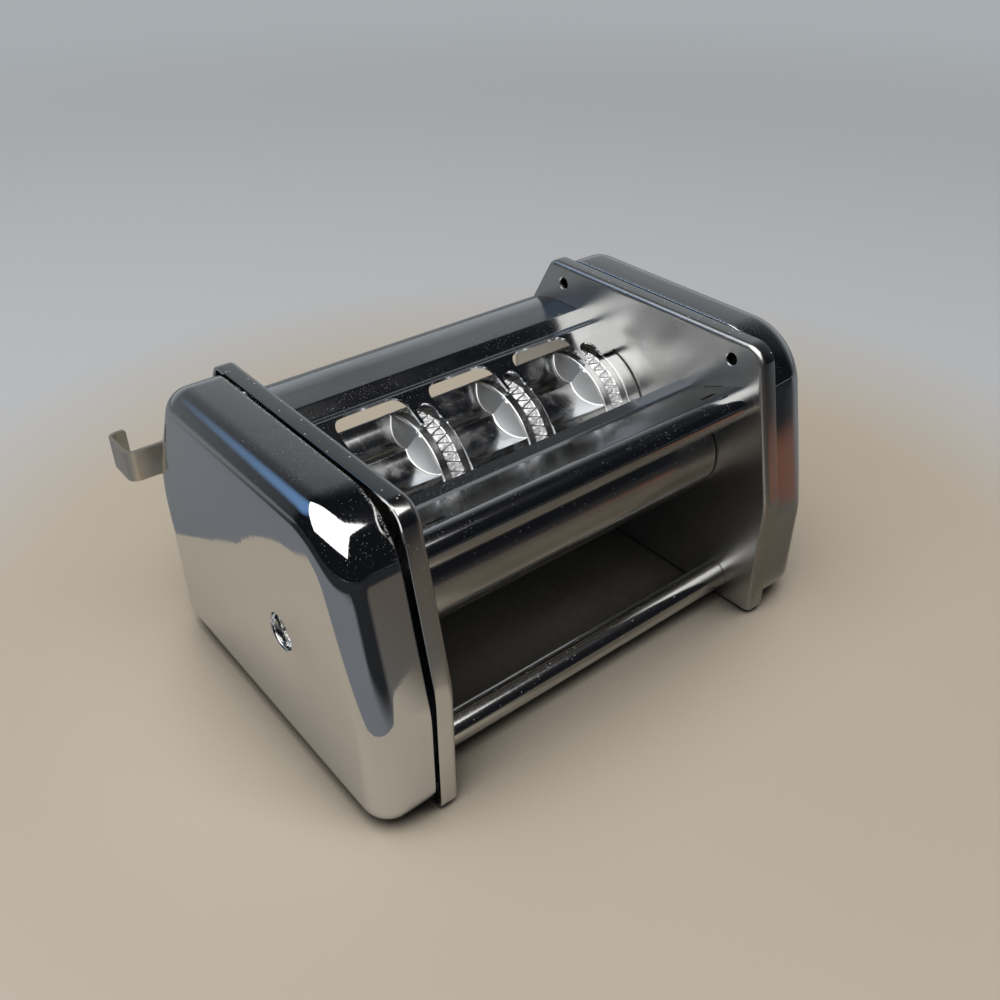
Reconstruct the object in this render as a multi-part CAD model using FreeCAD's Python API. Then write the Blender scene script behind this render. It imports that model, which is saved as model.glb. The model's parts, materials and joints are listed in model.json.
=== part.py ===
import FreeCAD, Part
import math
import os
from FreeCAD import Vector

# Clip-on ravioli former for a hand cranked pasta machine.
# X runs along the rollers, Y from the front to the back, Z up, all in millimetres.
# Y is counted from the front foot of the side plates until the nodes are written,
# and the written model stands on Z = 0 with its box centred on X and Y.

# Side plates
web_gap = 152.0
plate_t = 1.5
rim_w = 7.2
rim_bend_r = 2.0
plate_depth = 153.0
plate_height = 117.0
front_kink_h = 53.0
back_kink_h = 77.0
top_front_set = 13.8
top_back_set = 23.0
plate_corner_r = {"foot_front": 4.0, "kink_front": 40.0, "top_front": 9.0,
                  "top_back": 5.0, "kink_back": 52.0, "foot_back": 12.0}
hopper_hole_r = 2.5
hopper_hole_drop = 8.4
hopper_hole_front = 13.0
hopper_hole_back = 8.9

# Covers
cover_t = 1.0
cover_gap = 1.3
cover_depth = 21.8
cover_face_r = 10.0
cover_inset = {"front_low": 0.9, "front_slope": 2.6, "top": 0.2,
               "back_slope": 3.0, "back_low": 2.6, "foot": 0.3}
cover_corner_r = {"foot_front": 12.4, "kink_front": 50.0, "top_front": 26.0,
                  "top_back": 13.5, "kink_back": 62.0, "foot_back": 12.4}
dimple_r = 6.8
dimple_depth = 4.0
dimple_hole_gap = 0.3
lug_w = 16.0
lug_reach = 4.0
lug_fit = 0.2
pillar_r = 3.5
pillar_shank_r = 2.2
pillar_thread_spare = 1.0
pillar_bush_gap = 1.2
pillar_gear_gap = 2.5
left_pillar_deg = 45.0
screw_head_r = 4.6
screw_head_h = 2.6
screw_crown_share = 0.55
screw_r = 2.0
screw_len = 10.0
cross_w = 1.1
cross_len = 5.4
cross_depth = 1.6

# Rollers
axis_h = 63.5
die_axis_y = 94.5
die_r = 26.4
press_r = 20.2
roller_gap = 0.3
roller_edge = 0.5
end_gap = 0.5
die_shaft_r = 6.0
press_shaft_r = 4.0
wheels = 4
drum_w = 28.5
wheel_w = 13.0
seam_chamfer = 0.35

# Pockets of the die drums
pockets = 4
pocket_first_deg = 20.0
pocket_half_w = 17.0
crest_r = 19.5
valley_u = 8.7
valley_r = 17.2
pocket_wall_slope = 0.673
pocket_ridge_slope = 0.39

# Zig-zag rims of the crimping wheels
zigzag_teeth = 42
zigzag_w = 5.4
zigzag_depth = 2.0
zigzag_ridge = 0.55

# Gears
die_teeth = 26
press_teeth = 20
gear_w = 6.0
gear_backlash = 0.16
pressure_deg = 20.0
root_clearance = 0.25
flank_points = 5

# Bearings and drive
die_bush_wall = 3.0
press_bush_wall = 1.5
bush_flange_t = 1.5
bush_flange_step = 1.6
running = 0.05
ring_t = 1.2
ring_step = 1.6
side_play = 0.3
shaft_proud = 1.0
socket_r = 8.0
socket_bore_r = 4.5
socket_bore_len = 12.0
socket_slot_w = 3.0
socket_slot_depth = 6.0
socket_slot_past = 1.6
socket_chamfer = 0.8
socket_hole_gap = 1.5
socket_inset = 4.5

# Tie rods
rod_r = 6.0
rod_stud_r = 3.0
front_rod_y = 20.2
front_rod_h = 10.4
back_rod_inset = 15.0
back_rod_h = 12.0
nut_flat_r = 4.4
nut_t = 4.0
nut_chamfer = 0.6
stud_proud = 0.8

# Sheet guides, whose heights are counted from the rollers' axis
guide_t = 1.2
guide_bend_r = 2.4
tab_w = 9.0
tab_fit = 0.15
tab_proud = 0.5
tab_end_gap = 1.0
skirt_tab_h = 3.6
comb_tip_y = 86.5
comb_tip_rise = 27.5
comb_slope_end_y = 100.4
comb_slope_end_rise = 34.4
comb_step_y = 105.0
comb_step_rise = 32.9
table_start_y = 111.5
table_end_y = 124.0
table_rise = 36.3
back_roll_r = 41.0
back_roll_deg = 31.0
skirt_y = 150.6
skirt_foot_h = 75.0
skirt_bend_r = 9.0
window_set = 0.3
window_r = 6.0
tongue_w = 10.7
slot_w = 7.7
slot_len = 7.2
comb_shift = 0.85
lip_y = 50.5
lip_rise = 26.8
band_front_y = 45.1
band_front_rise = 26.2
band_back_y = 22.0
band_back_rise = 35.5
front_roll_r = 6.0
front_curl_deg = 152.0
lip_slot_len = 8.0
lip_slot_w = 2.4
lip_slot_inset = 13.0
lip_slot_set = 2.5

# Hooks at the back
hook_t = 1.5
hook_reach = 31.2
hook_depth = 18.0
hook_bend_r = 4.0
hook_tip = 7.4
hook_low = 67.5
hook_high = 80.3
hook_root_low = 44.0
hook_root_high = 87.0
hook_root_w = 15.0
hook_root_set = 1.0
hook_root_rim = 0.5
hook_shoulder = 3.0
hook_side_r = {"root_low": 2.0, "rim_low": 3.0, "arm_low": 12.0, "arm_high": 4.0,
               "shoulder": 2.5, "root_high": 2.0}
hook_rivet_r = 1.6
hook_rivet_head_r = 2.8
hook_rivet_head_t = 1.1
hook_rivet_crown_share = 0.8
hook_rivet_set = 0.4
hook_rivet_low = 49.0
hook_rivet_high = 58.5

# Radius of a corner that is meant to be square, and the least of other corners and bends
square_r = 0.01
least_corner_r = 0.6
least_bend_r = 0.3

# Share of half its width that a slot's rounded end takes
round_end = 0.99

# Where a tooth's flank starts, as a share of the base circle
flank_start = 1.0005

# Distance below which two places count as one
same = 1e-6

# How far cutters run past what they cut
past = 1.0
far_past = 12.0

# Sizes that follow from those above
web_in = web_gap / 2
web_out = web_in + plate_t
rim_out = web_in + rim_w
cover_in = rim_out + cover_gap
cover_out = cover_in + cover_depth
dimple_floor = cover_out - dimple_depth
press_axis_y = die_axis_y - die_r - press_r - roller_gap
roller_end = web_in - end_gap
bush_in = roller_end + side_play
die_bush_r = die_shaft_r + die_bush_wall
press_bush_r = press_shaft_r + press_bush_wall
flange_out = web_out + bush_flange_t
gear_in = flange_out + side_play
gear_out = gear_in + gear_w
module = (die_r + press_r + roller_gap) * 2 / (die_teeth + press_teeth)
die_tip_r = module * (die_teeth + 2) / 2
front_pillar_off = press_bush_r + bush_flange_step + pillar_r + pillar_bush_gap
left_pillar_y = press_axis_y + front_pillar_off * math.cos(math.radians(left_pillar_deg))
left_pillar_h = axis_h - front_pillar_off * math.sin(math.radians(left_pillar_deg))
right_pillar_y = (press_axis_y + die_axis_y) / 2
right_pillar_h = axis_h + die_tip_r + pillar_r + pillar_gear_gap
back_rod_y = plate_depth - back_rod_inset
hook_rivet_x = (web_out + rim_out) / 2 + hook_rivet_set
pitch_x = drum_w + wheel_w
comb_tip_h = axis_h + comb_tip_rise
comb_slope_end_h = axis_h + comb_slope_end_rise
comb_step_h = axis_h + comb_step_rise
table_h = axis_h + table_rise
lip_h = axis_h + lip_rise
band_front_h = axis_h + band_front_rise
band_back_h = axis_h + band_back_rise
total_back = plate_depth + hook_depth + hook_t
shift_y = -total_back / 2

EX = Vector(1, 0, 0)
EY = Vector(0, 1, 0)


def at(x, y, z):
    return Vector(x, y, z)


def face_of(points, x):
    """Flat face through (y, z) points in the plane at x."""
    ring = [at(x, y, z) for y, z in points]
    return Part.Face(Part.makePolygon(ring + [ring[0]]))


def rounded_wire(points, radii):
    """Closed outline through sharp corners in one plane, each rounded with its own radius."""
    count = len(points)
    edges = []
    entries = []
    exits = []
    middles = []
    for index in range(count):
        corner = points[index]
        before = (points[index - 1] - corner).normalize()
        after = (points[(index + 1) % count] - corner).normalize()
        half = before.getAngle(after) / 2
        radius = radii[index]
        bisector = (before + after).normalize()
        centre = corner + bisector * (radius / math.sin(half))
        entries.append(corner + before * (radius / math.tan(half)))
        exits.append(corner + after * (radius / math.tan(half)))
        middles.append(centre - bisector * radius)
    for index in range(count):
        edges.append(Part.Arc(entries[index], middles[index], exits[index]).toShape())
        edges.append(Part.LineSegment(exits[index], entries[(index + 1) % count]).toShape())
    return Part.Wire(edges)


def plate_corners():
    """Sharp corners of the side plate, from the front foot up and round to the back foot."""
    return {"foot_front": (0.0, 0.0),
            "kink_front": (0.0, front_kink_h),
            "top_front": (top_front_set, plate_height),
            "top_back": (plate_depth - top_back_set, plate_height),
            "kink_back": (plate_depth, back_kink_h),
            "foot_back": (plate_depth, 0.0)}


def inset_corners(points, insets):
    """Corners of the same outline with each side moved inwards by its own inset."""
    count = len(points)
    lines = []
    for index in range(count):
        (y0, z0) = points[index]
        (y1, z1) = points[(index + 1) % count]
        length = math.hypot(y1 - y0, z1 - z0)
        ny = (z1 - z0) / length
        nz = -(y1 - y0) / length
        lines.append((ny, nz, ny * y0 + nz * z0 + insets[index]))
    corners = []
    for index in range(count):
        (a0, b0, c0) = lines[index - 1]
        (a1, b1, c1) = lines[index]
        det = a0 * b1 - a1 * b0
        corners.append(((c0 * b1 - c1 * b0) / det, (a0 * c1 - a1 * c0) / det))
    return corners


def plate_insets(inset):
    """The same inset for every side of the plate's outline."""
    return [inset] * len(plate_corners())


def cover_insets(inset):
    """How far each side of the cover's outline lies inside the plate's, plus an even inset."""
    return [own + inset for own in cover_inset.values()]


def plate_outline(insets, radii, x, shrink=0.0):
    """Face of the plate's outline at x, moved inwards, with corner radii less the shrink."""
    corners = plate_corners()
    points = inset_corners(list(corners.values()), insets)
    sizes = [max(radii[name] - shrink, least_corner_r) for name in corners]
    return Part.Face(rounded_wire([at(x, y, z) for y, z in points], sizes))


def edges_at(shape, x):
    """Edges of a shape that lie wholly in the plane at x."""
    found = []
    for edge in shape.Edges:
        box = edge.BoundBox
        if abs(box.XMin - x) < same and abs(box.XMax - x) < same:
            found.append(edge)
    return found


def prism(face, length):
    return face.extrude(at(length, 0, 0))


def rod(radius, x0, x1, y, z):
    """Round bar along X from x0 to x1."""
    return Part.makeCylinder(radius, x1 - x0, at(x0, y, z), EX)


def box(x0, x1, y0, y1, z0, z1):
    return Part.makeBox(x1 - x0, y1 - y0, z1 - z0, at(x0, y0, z0))


def end_circles(shape, radius):
    """Full circles of a given radius, as at the ends of a roller."""
    def keep(edge):
        curve = edge.Curve
        return isinstance(curve, Part.Circle) and abs(curve.Radius - radius) < same
    return [edge for edge in shape.Edges if keep(edge)]


def mirrored(shape):
    return shape.mirror(at(0, 0, 0), EX)


# Sheet metal profiles

def offset_path(path, side):
    """Edges of an open (y, z) path of lines and arcs, moved sideways by a distance."""
    edges = []
    for piece in path:
        if piece[0] == "line":
            (y0, z0), (y1, z1) = piece[1], piece[2]
            length = math.hypot(y1 - y0, z1 - z0)
            dy = -(z1 - z0) / length * side
            dz = (y1 - y0) / length * side
            edges.append(((y0 + dy, z0 + dz), None, (y1 + dy, z1 + dz)))
        else:
            (cy, cz), radius, start, sweep = piece[1:]
            sign = 1 if sweep > 0 else -1
            size = radius - sign * side
            ends = []
            for share in (0, 0.5, 1):
                angle = math.radians(start + sweep * share)
                ends.append((cy + size * math.cos(angle), cz + size * math.sin(angle)))
            edges.append(tuple(ends))
    return edges


def bent_path(points, radii):
    """Path of lines and tangent arcs through (y, z) points, rounded at the inner ones."""
    path = []
    here = points[0]
    for index in range(1, len(points) - 1):
        corner = Vector(points[index][0], points[index][1], 0)
        before = (Vector(points[index - 1][0], points[index - 1][1], 0) - corner).normalize()
        after = (Vector(points[index + 1][0], points[index + 1][1], 0) - corner).normalize()
        half = before.getAngle(after) / 2
        radius = radii[index - 1]
        reach = radius / math.tan(half)
        centre = corner + (before + after).normalize() * (radius / math.sin(half))
        entry = corner + before * reach
        leave = corner + after * reach
        start = math.degrees(math.atan2(entry.y - centre.y, entry.x - centre.x))
        stop = math.degrees(math.atan2(leave.y - centre.y, leave.x - centre.x))
        sweep = (stop - start + 180) % 360 - 180
        path.append(("line", here, (entry.x, entry.y)))
        path.append(("arc", (centre.x, centre.y), radius, start, sweep))
        here = (leave.x, leave.y)
    path.append(("line", here, points[-1]))
    return path


def sheet(path, thickness, x0, x1):
    """Sheet from x0 to x1 on the right of a (y, z) path, or on its left if thickness is negative."""
    upper = offset_path(path, 0.0)
    lower = offset_path(path, -thickness)
    edges = []
    for start, middle, stop in upper + [(s, m, e) for e, m, s in reversed(lower)]:
        if middle is None:
            edges.append(Part.LineSegment(at(x0, *start), at(x0, *stop)).toShape())
        else:
            edges.append(Part.Arc(at(x0, *start), at(x0, *middle), at(x0, *stop)).toShape())
    first = Part.LineSegment(at(x0, *upper[-1][2]), at(x0, *lower[-1][2])).toShape()
    last = Part.LineSegment(at(x0, *lower[0][0]), at(x0, *upper[0][0])).toShape()
    edges.insert(len(upper), first)
    edges.append(last)
    return prism(Part.Face(Part.Wire(edges)), x1 - x0)


def back_guide_path():
    """Top surface of the back guide, from the comb's tips to the skirt's foot."""
    roll = math.radians(back_roll_deg)
    roll_y = table_end_y + back_roll_r * math.sin(roll)
    roll_h = table_h - back_roll_r * (1 - math.cos(roll))
    path = bent_path([(comb_tip_y, comb_tip_h), (comb_slope_end_y, comb_slope_end_h),
                      (comb_step_y, comb_step_h), (table_start_y, table_h),
                      (table_end_y, table_h)], [guide_bend_r] * 3)
    path.append(("arc", (table_end_y, table_h - back_roll_r), back_roll_r, 90.0, -back_roll_deg))
    corner_h = roll_h - (skirt_y - roll_y) * math.tan(roll)
    path += bent_path([(roll_y, roll_h), (skirt_y, corner_h), (skirt_y, skirt_foot_h)],
                      [skirt_bend_r])
    return path


def front_guide_path():
    """Top surface of the front guide, from the lip over the throat to the curl at the front."""
    rise = math.atan2(band_back_h - band_front_h, band_front_y - band_back_y)
    start = 90.0 - math.degrees(rise)
    centre = (band_back_y - front_roll_r * math.cos(math.radians(start)),
              band_back_h - front_roll_r * math.sin(math.radians(start)))
    path = bent_path([(lip_y, lip_h), (band_front_y, band_front_h), (band_back_y, band_back_h)],
                     [guide_bend_r])
    path.append(("arc", centre, front_roll_r, start, front_curl_deg))
    return path


def back_tabs():
    """Spans of the back guide that pass through slots in the webs, as (y0, y1, z0, z1)."""
    last = table_end_y - tab_end_gap
    table = (last - tab_w, last, table_h - guide_t, table_h)
    skirt = (skirt_y - guide_t, skirt_y, skirt_foot_h, skirt_foot_h + skirt_tab_h)
    return [table, skirt]


def front_tab_cut(x0, x1, clearance):
    """Piece of the front guide's sloping band that passes through a slot in the web."""
    rise = math.atan2(band_back_h - band_front_h, band_front_y - band_back_y)
    along = Vector(0, -math.cos(rise), math.sin(rise))
    down = Vector(0, -math.sin(rise), -math.cos(rise))
    middle = at(x0, (band_front_y + band_back_y) / 2, (band_front_h + band_back_h) / 2)
    half = tab_w / 2 + clearance
    a = middle - along * half - down * clearance
    b = middle + along * half - down * clearance
    c = b + down * (guide_t + 2 * clearance)
    d = a + down * (guide_t + 2 * clearance)
    return prism(Part.Face(Part.makePolygon([a, b, c, d, a])), x1 - x0)


# Pieces of the frame

def side_plate():
    """Right-hand side plate: a pressed pan with its rim turned outwards."""
    body = prism(plate_outline(plate_insets(0.0), plate_corner_r, web_in), rim_w)
    body = body.makeFillet(rim_bend_r, edges_at(body, web_in))
    room = prism(plate_outline(plate_insets(plate_t), plate_corner_r, web_out, plate_t), rim_w)
    inner_r = max(rim_bend_r - plate_t, least_bend_r)
    body = body.cut(room.makeFillet(inner_r, edges_at(room, web_out)))
    front_y = top_front_set + hopper_hole_front
    back_y = plate_depth - top_back_set - hopper_hole_back
    hole_h = plate_height - hopper_hole_drop
    holes = [(hopper_hole_r, front_y, hole_h), (hopper_hole_r, back_y, hole_h),
             (die_bush_r, die_axis_y, axis_h), (press_bush_r, press_axis_y, axis_h),
             (rod_stud_r, front_rod_y, front_rod_h), (rod_stud_r, back_rod_y, back_rod_h)]
    for radius, y, z in holes:
        body = body.cut(rod(radius, web_in - past, web_out + past, y, z))
    for y0, y1, z0, z1 in back_tabs():
        body = body.cut(box(web_in - past, web_out + past, y0 - tab_fit, y1 + tab_fit,
                            z0 - tab_fit, z1 + tab_fit))
    body = body.cut(front_tab_cut(web_in - past, web_out + past, tab_fit))
    for z in (hook_rivet_low, hook_rivet_high):
        body = body.cut(along_y(hook_rivet_r, plate_depth - plate_t - past,
                                plate_depth + past, z))
    return body


def with_pillar_hole(plate, y, z):
    return plate.cut(rod(pillar_shank_r, web_in - past, web_out + past, y, z))


def cover(y, z):
    """Right-hand cover: a deep-drawn shell with a dimple for its screw at (y, z)."""
    outer = prism(plate_outline(cover_insets(0.0), cover_corner_r, cover_in), cover_depth)
    outer = outer.makeFillet(cover_face_r, edges_at(outer, cover_out))
    room = prism(plate_outline(cover_insets(cover_t), cover_corner_r, cover_in, cover_t),
                 cover_depth - cover_t)
    inner_r = cover_face_r - cover_t
    room = room.makeFillet(inner_r, edges_at(room, cover_out - cover_t))
    shell = outer.cut(room)
    cup = rod(dimple_r + cover_t, dimple_floor - cover_t, cover_out - cover_t / 2, y, z)
    well = rod(dimple_r, dimple_floor, cover_out + past, y, z)
    shell = shell.fuse(cup).cut(well)
    shell = shell.cut(rod(screw_r + dimple_hole_gap, dimple_floor - cover_t - past,
                          dimple_floor + past, y, z))
    return shell.fuse(cover_lugs()).removeSplitter()


def cover_lugs():
    """Joggled lugs of the cover's wall that reach inside the rim of the side plate."""
    rim_end = rim_out + lug_fit
    tip = rim_out - lug_reach
    near = plate_t + lug_fit
    foot = cover_inset["foot"]
    back = cover_inset["back_low"]
    left = plate_depth / 2 - lug_w / 2
    right = left + lug_w
    low = (back_kink_h + cover_corner_r["foot_back"]) / 2 - lug_w
    high = low + lug_w
    lugs = [box(tip, rim_end, left, right, near, near + cover_t),
            box(rim_end, cover_in, left, right, min(foot, near), max(foot, near) + cover_t),
            box(tip, rim_end, plate_depth - near - cover_t, plate_depth - near, low, high),
            box(rim_end, cover_in, plate_depth - max(back, near) - cover_t,
                plate_depth - min(back, near), low, high)]
    return lugs


def cover_pillar(y, z):
    """Threaded pillar riveted into the web; its end carries the cover's dimple."""
    body = rod(pillar_r, web_out, dimple_floor - cover_t, y, z)
    body = body.fuse(rod(pillar_shank_r, web_in, web_out, y, z)).removeSplitter()
    depth = screw_len - cover_t + pillar_thread_spare
    return body.cut(rod(screw_r, dimple_floor - cover_t - depth, dimple_floor, y, z))


def cover_screw(y, z):
    """Cross-recessed screw seated in the cover's dimple."""
    head = rod(screw_head_r, dimple_floor, dimple_floor + screw_head_h, y, z)
    head = head.makeFillet(screw_head_h * screw_crown_share, edges_at(head, dimple_floor + screw_head_h))
    shank = rod(screw_r, dimple_floor - screw_len, dimple_floor, y, z)
    top = dimple_floor + screw_head_h
    arm = box(top - cross_depth, top + past, y - cross_len / 2, y + cross_len / 2,
              z - cross_w / 2, z + cross_w / 2)
    turned = arm.copy()
    turned.rotate(at(0, y, z), EX, 90)
    return head.fuse(shank).removeSplitter().cut(arm.fuse(turned))


def tie_rod(y, z):
    """Spacer rod between the webs, with a threaded stud through each web."""
    body = rod(rod_r, -web_in, web_in, y, z)
    body = body.makeChamfer(roller_edge, end_circles(body, rod_r))
    reach = web_out + nut_t + stud_proud
    return body.fuse(rod(rod_stud_r, -reach, reach, y, z)).removeSplitter()


def nut(side, y, z):
    """Hexagon nut on a tie rod's stud, outside one web."""
    corner = nut_flat_r / math.cos(math.radians(30))
    ring = []
    for index in range(6):
        angle = math.radians(60 * index)
        ring.append((y + corner * math.cos(angle), z + corner * math.sin(angle)))
    body = prism(face_of(ring, web_out), nut_t)
    cap = rod(corner, web_out, web_out + nut_t, y, z)
    cap = cap.makeChamfer(nut_chamfer, edges_at(cap, web_out + nut_t))
    body = body.common(cap).cut(rod(rod_stud_r, web_out - past, web_out + nut_t + past, y, z))
    return body if side > 0 else mirrored(body)


def bush(shaft_r, outer_r, y):
    """Flanged bush in the right-hand web, flange outside."""
    body = rod(outer_r, bush_in, web_out, y, axis_h)
    body = body.fuse(rod(outer_r + bush_flange_step, web_out, flange_out, y, axis_h))
    bore = rod(shaft_r + running, bush_in - past, flange_out + past, y, axis_h)
    return body.removeSplitter().cut(bore)


def back_guide():
    """Sheet guide behind the die roller with a comb that strips the dough from the wheels."""
    path = back_guide_path()
    body = sheet(path, guide_t, -web_in, web_in)
    for window in comb_windows():
        body = body.cut(window)
    reach = web_out + tab_proud
    for y0, y1, z0, z1 in back_tabs():
        body = body.fuse(box(-reach, -web_in, y0, y1, z0, z1))
        body = body.fuse(box(web_in, reach, y0, y1, z0, z1))
    return body.removeSplitter()


def comb_windows():
    """Cuts that leave one slotted tongue over each crimping wheel."""
    low_y = comb_tip_y - past
    window_y = comb_slope_end_y - window_set
    slot_y = comb_tip_y + slot_len
    half = tongue_w / 2
    cuts = []
    centres = [place + comb_shift for place in wheel_places()]
    for left, right in zip(centres[:-1], centres[1:]):
        cuts.append(throat_cut(left + half, right - half, low_y, window_y, window_r))
    for centre in centres:
        cuts.append(throat_cut(centre - slot_w / 2, centre + slot_w / 2, low_y, slot_y, slot_w / 2))
    return cuts


def wheel_places():
    """Middles of the crimping wheels along X."""
    return [pitch_x * (index - (wheels - 1) / 2) for index in range(wheels)]


def throat_cut(x0, x1, y0, y1, radius):
    """Upright cutter with rounded inner corners, open towards the throat."""
    size = min(radius, (x1 - x0) / 2 * round_end)
    body = box(x0, x1, y0, y1, comb_tip_h - far_past, table_h + far_past)
    edges = []
    for edge in body.Edges:
        box_of = edge.BoundBox
        if abs(box_of.YMin - y1) < same and box_of.ZLength > far_past:
            edges.append(edge)
    return body.makeFillet(size, edges)


def front_guide():
    """Sheet guide in front of the throat, with a rolled front edge."""
    body = sheet(front_guide_path(), -guide_t, -web_in, web_in)
    reach = web_out + tab_proud
    body = body.fuse(front_tab_cut(web_in, reach, 0.0))
    body = body.fuse(front_tab_cut(-reach, -web_in, 0.0))
    half = lip_slot_len / 2
    slot_y = band_back_y + lip_slot_set
    for side in (-1, 1):
        middle = side * (web_in - lip_slot_inset)
        slot = box(middle - half, middle + half, slot_y, slot_y + lip_slot_w,
                   band_front_h - far_past, band_back_h + far_past)
        upright = [edge for edge in slot.Edges if edge.BoundBox.ZLength > far_past]
        body = body.cut(slot.makeFillet(lip_slot_w / 2 * round_end, upright))
    return body.removeSplitter()


def hook():
    """Right-hand hook: a flat bracket on the back rim whose arm ends in a bent leg."""
    reach = rim_out + hook_reach
    root = web_in + hook_root_set
    front = plate_depth
    back = plate_depth + hook_depth + hook_t
    tip = reach - hook_tip
    outer = [(root, front), (reach, front), (reach, back), (tip, back)]
    inner = [(tip, back - hook_t), (reach - hook_t, back - hook_t),
             (reach - hook_t, front + hook_t), (root, front + hook_t)]
    bends = [square_r, hook_bend_r, hook_bend_r, square_r]
    inner_bends = [square_r, hook_bend_r - hook_t, hook_bend_r - hook_t, square_r]
    strip = plan_face(outer + inner, bends + inner_bends, hook_root_low)
    strip = strip.extrude(at(0, 0, hook_root_high - hook_root_low))
    body = strip.common(hook_side(root, reach))
    for z in (hook_rivet_low, hook_rivet_high):
        body = body.cut(along_y(hook_rivet_r, front - past, front + hook_t + past, z))
    return body


def along_y(radius, y0, y1, z):
    """Round bar along Y on the line of the right-hand hook's rivets."""
    return Part.makeCylinder(radius, y1 - y0, at(hook_rivet_x, y0, z), EY)


def hook_side(root, reach):
    """Side outline of the hook: a tall root with the arm leaving it."""
    arm_x = rim_out + hook_root_w
    end = reach + past
    size = hook_side_r
    ring = [(root, hook_root_low, size["root_low"]),
            (rim_out - hook_root_rim, hook_root_low, size["rim_low"]),
            (arm_x, hook_low, size["arm_low"]),
            (end, hook_low, square_r),
            (end, hook_high, square_r),
            (arm_x, hook_high, size["arm_high"]),
            (arm_x - hook_shoulder, hook_root_high, size["shoulder"]),
            (root, hook_root_high, size["root_high"])]
    points = [at(x, plate_depth - past, z) for x, z, radius in ring]
    face = Part.Face(rounded_wire(points, [radius for x, z, radius in ring]))
    return face.extrude(at(0, hook_depth + hook_t + 2 * past, 0))


def plan_face(ring, radii, z):
    """Face in plan from (x, y) corners."""
    return Part.Face(rounded_wire([at(x, y, z) for x, y in ring], radii))


def hook_rivets():
    """Two rivets through each hook and the rim behind it."""
    rivets = []
    inner = plate_depth - plate_t
    outer = plate_depth + hook_t
    for z in (hook_rivet_low, hook_rivet_high):
        head = Part.makeCylinder(hook_rivet_head_r, hook_rivet_head_t, at(hook_rivet_x, outer, z), EY)
        crown = [edge for edge in head.Edges
                 if abs(edge.BoundBox.YMin - outer - hook_rivet_head_t) < same]
        head = head.makeFillet(hook_rivet_head_t * hook_rivet_crown_share, crown)
        rivet = along_y(hook_rivet_r, inner, outer, z).fuse(head).removeSplitter()
        rivets += [rivet, mirrored(rivet)]
    return Part.Compound(rivets)


# Pieces of the rollers

def turned_ring(outer_r, bore_r, x0, x1, chamfer):
    """Ring about the die axis with chamfered outer edges."""
    body = rod(outer_r, x0, x1, die_axis_y, axis_h)
    body = body.makeChamfer(chamfer, end_circles(body, outer_r))
    return body.cut(rod(bore_r, x0 - past, x1 + past, die_axis_y, axis_h))


def pocket_half(sign):
    """Cutter for one half of a pocket at the top of a drum centred on X = 0."""
    edge_r = math.sqrt(die_r ** 2 - pocket_half_w ** 2)
    top_r = edge_r + pocket_half_w * pocket_ridge_slope
    reach = die_r + past
    trough = Part.Arc(at(0, 0, crest_r), at(0, sign * valley_u, valley_r),
                      at(0, sign * pocket_half_w, edge_r)).toShape()
    side = [at(0, sign * pocket_half_w, edge_r), at(0, sign * pocket_half_w, reach),
            at(0, 0, reach), at(0, 0, crest_r)]
    wire = Part.Wire([trough] + [Part.LineSegment(a, b).toShape() for a, b in zip(side, side[1:])])
    trough_room = Part.Face(wire).extrude(at(drum_w, 0, 0))
    trough_room.translate(at(-drum_w / 2, 0, 0))
    along = Vector(0, sign * pocket_half_w, edge_r - top_r)
    along.normalize()
    out = Vector(0, -along.z * sign, along.y * sign)
    deep = die_r / 2
    start = at(0, 0, top_r) - along * far_past
    half = drum_w / 2
    narrow = half - pocket_wall_slope * deep
    top = out * far_past
    ring = [start + EX * half + top, start + EX * half, start + EX * narrow - out * deep,
            start - EX * narrow - out * deep, start - EX * half, start - EX * half + top]
    length = die_r + 2 * far_past
    room = Part.Face(Part.makePolygon(ring + [ring[0]])).extrude(along * length)
    return trough_room.common(room)


def die_drum():
    """Middle drum of the die roller: four ravioli pockets round it."""
    body = turned_ring(die_r, die_shaft_r, -drum_w / 2, drum_w / 2, seam_chamfer)
    halves = [pocket_half(1), pocket_half(-1)]
    cutters = []
    for index in range(pockets):
        for half in halves:
            cutter = half.copy()
            cutter.translate(at(0, die_axis_y, axis_h))
            turn = pocket_first_deg - 90 + index * 360 / pockets
            cutter.rotate(at(0, die_axis_y, axis_h), EX, turn)
            cutters.append(cutter)
    return body.cut(cutters)


def crimp_wheel():
    """Wheel centred on X = 0 with a zig-zag ridge left between two rings of triangular pits."""
    body = turned_ring(die_r, die_shaft_r, -wheel_w / 2, wheel_w / 2, seam_chamfer)
    step = 2 * math.pi / zigzag_teeth
    half_arc = die_r * math.tan(step / 2) - zigzag_ridge / 2
    base = zigzag_w / 2
    apex = -zigzag_w / 2 + zigzag_ridge
    floor = die_r - zigzag_depth
    cutters = []
    for sign in (-1, 1):
        ring = [at(sign * base, -half_arc, floor), at(sign * base, half_arc, floor),
                at(sign * apex, 0, floor)]
        pit = Part.Face(Part.makePolygon(ring + [ring[0]])).extrude(at(0, 0, zigzag_depth + past))
        for index in range(zigzag_teeth):
            turn = (index + (0.5 if sign > 0 else 0)) * 360 / zigzag_teeth
            cutter = pit.copy()
            cutter.translate(at(0, die_axis_y, axis_h))
            cutter.rotate(at(0, die_axis_y, axis_h), EX, turn)
            cutters.append(cutter)
    return body.cut(cutters)


def moved(shape, x):
    copy = shape.copy()
    copy.translate(at(x, 0, 0))
    return copy


def press_roller():
    """Smooth roller in front of the die roller."""
    body = rod(press_r, -roller_end, roller_end, press_axis_y, axis_h)
    body = body.makeChamfer(roller_edge, end_circles(body, press_r))
    return body.cut(rod(press_shaft_r, -roller_end - past, roller_end + past, press_axis_y, axis_h))


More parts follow.
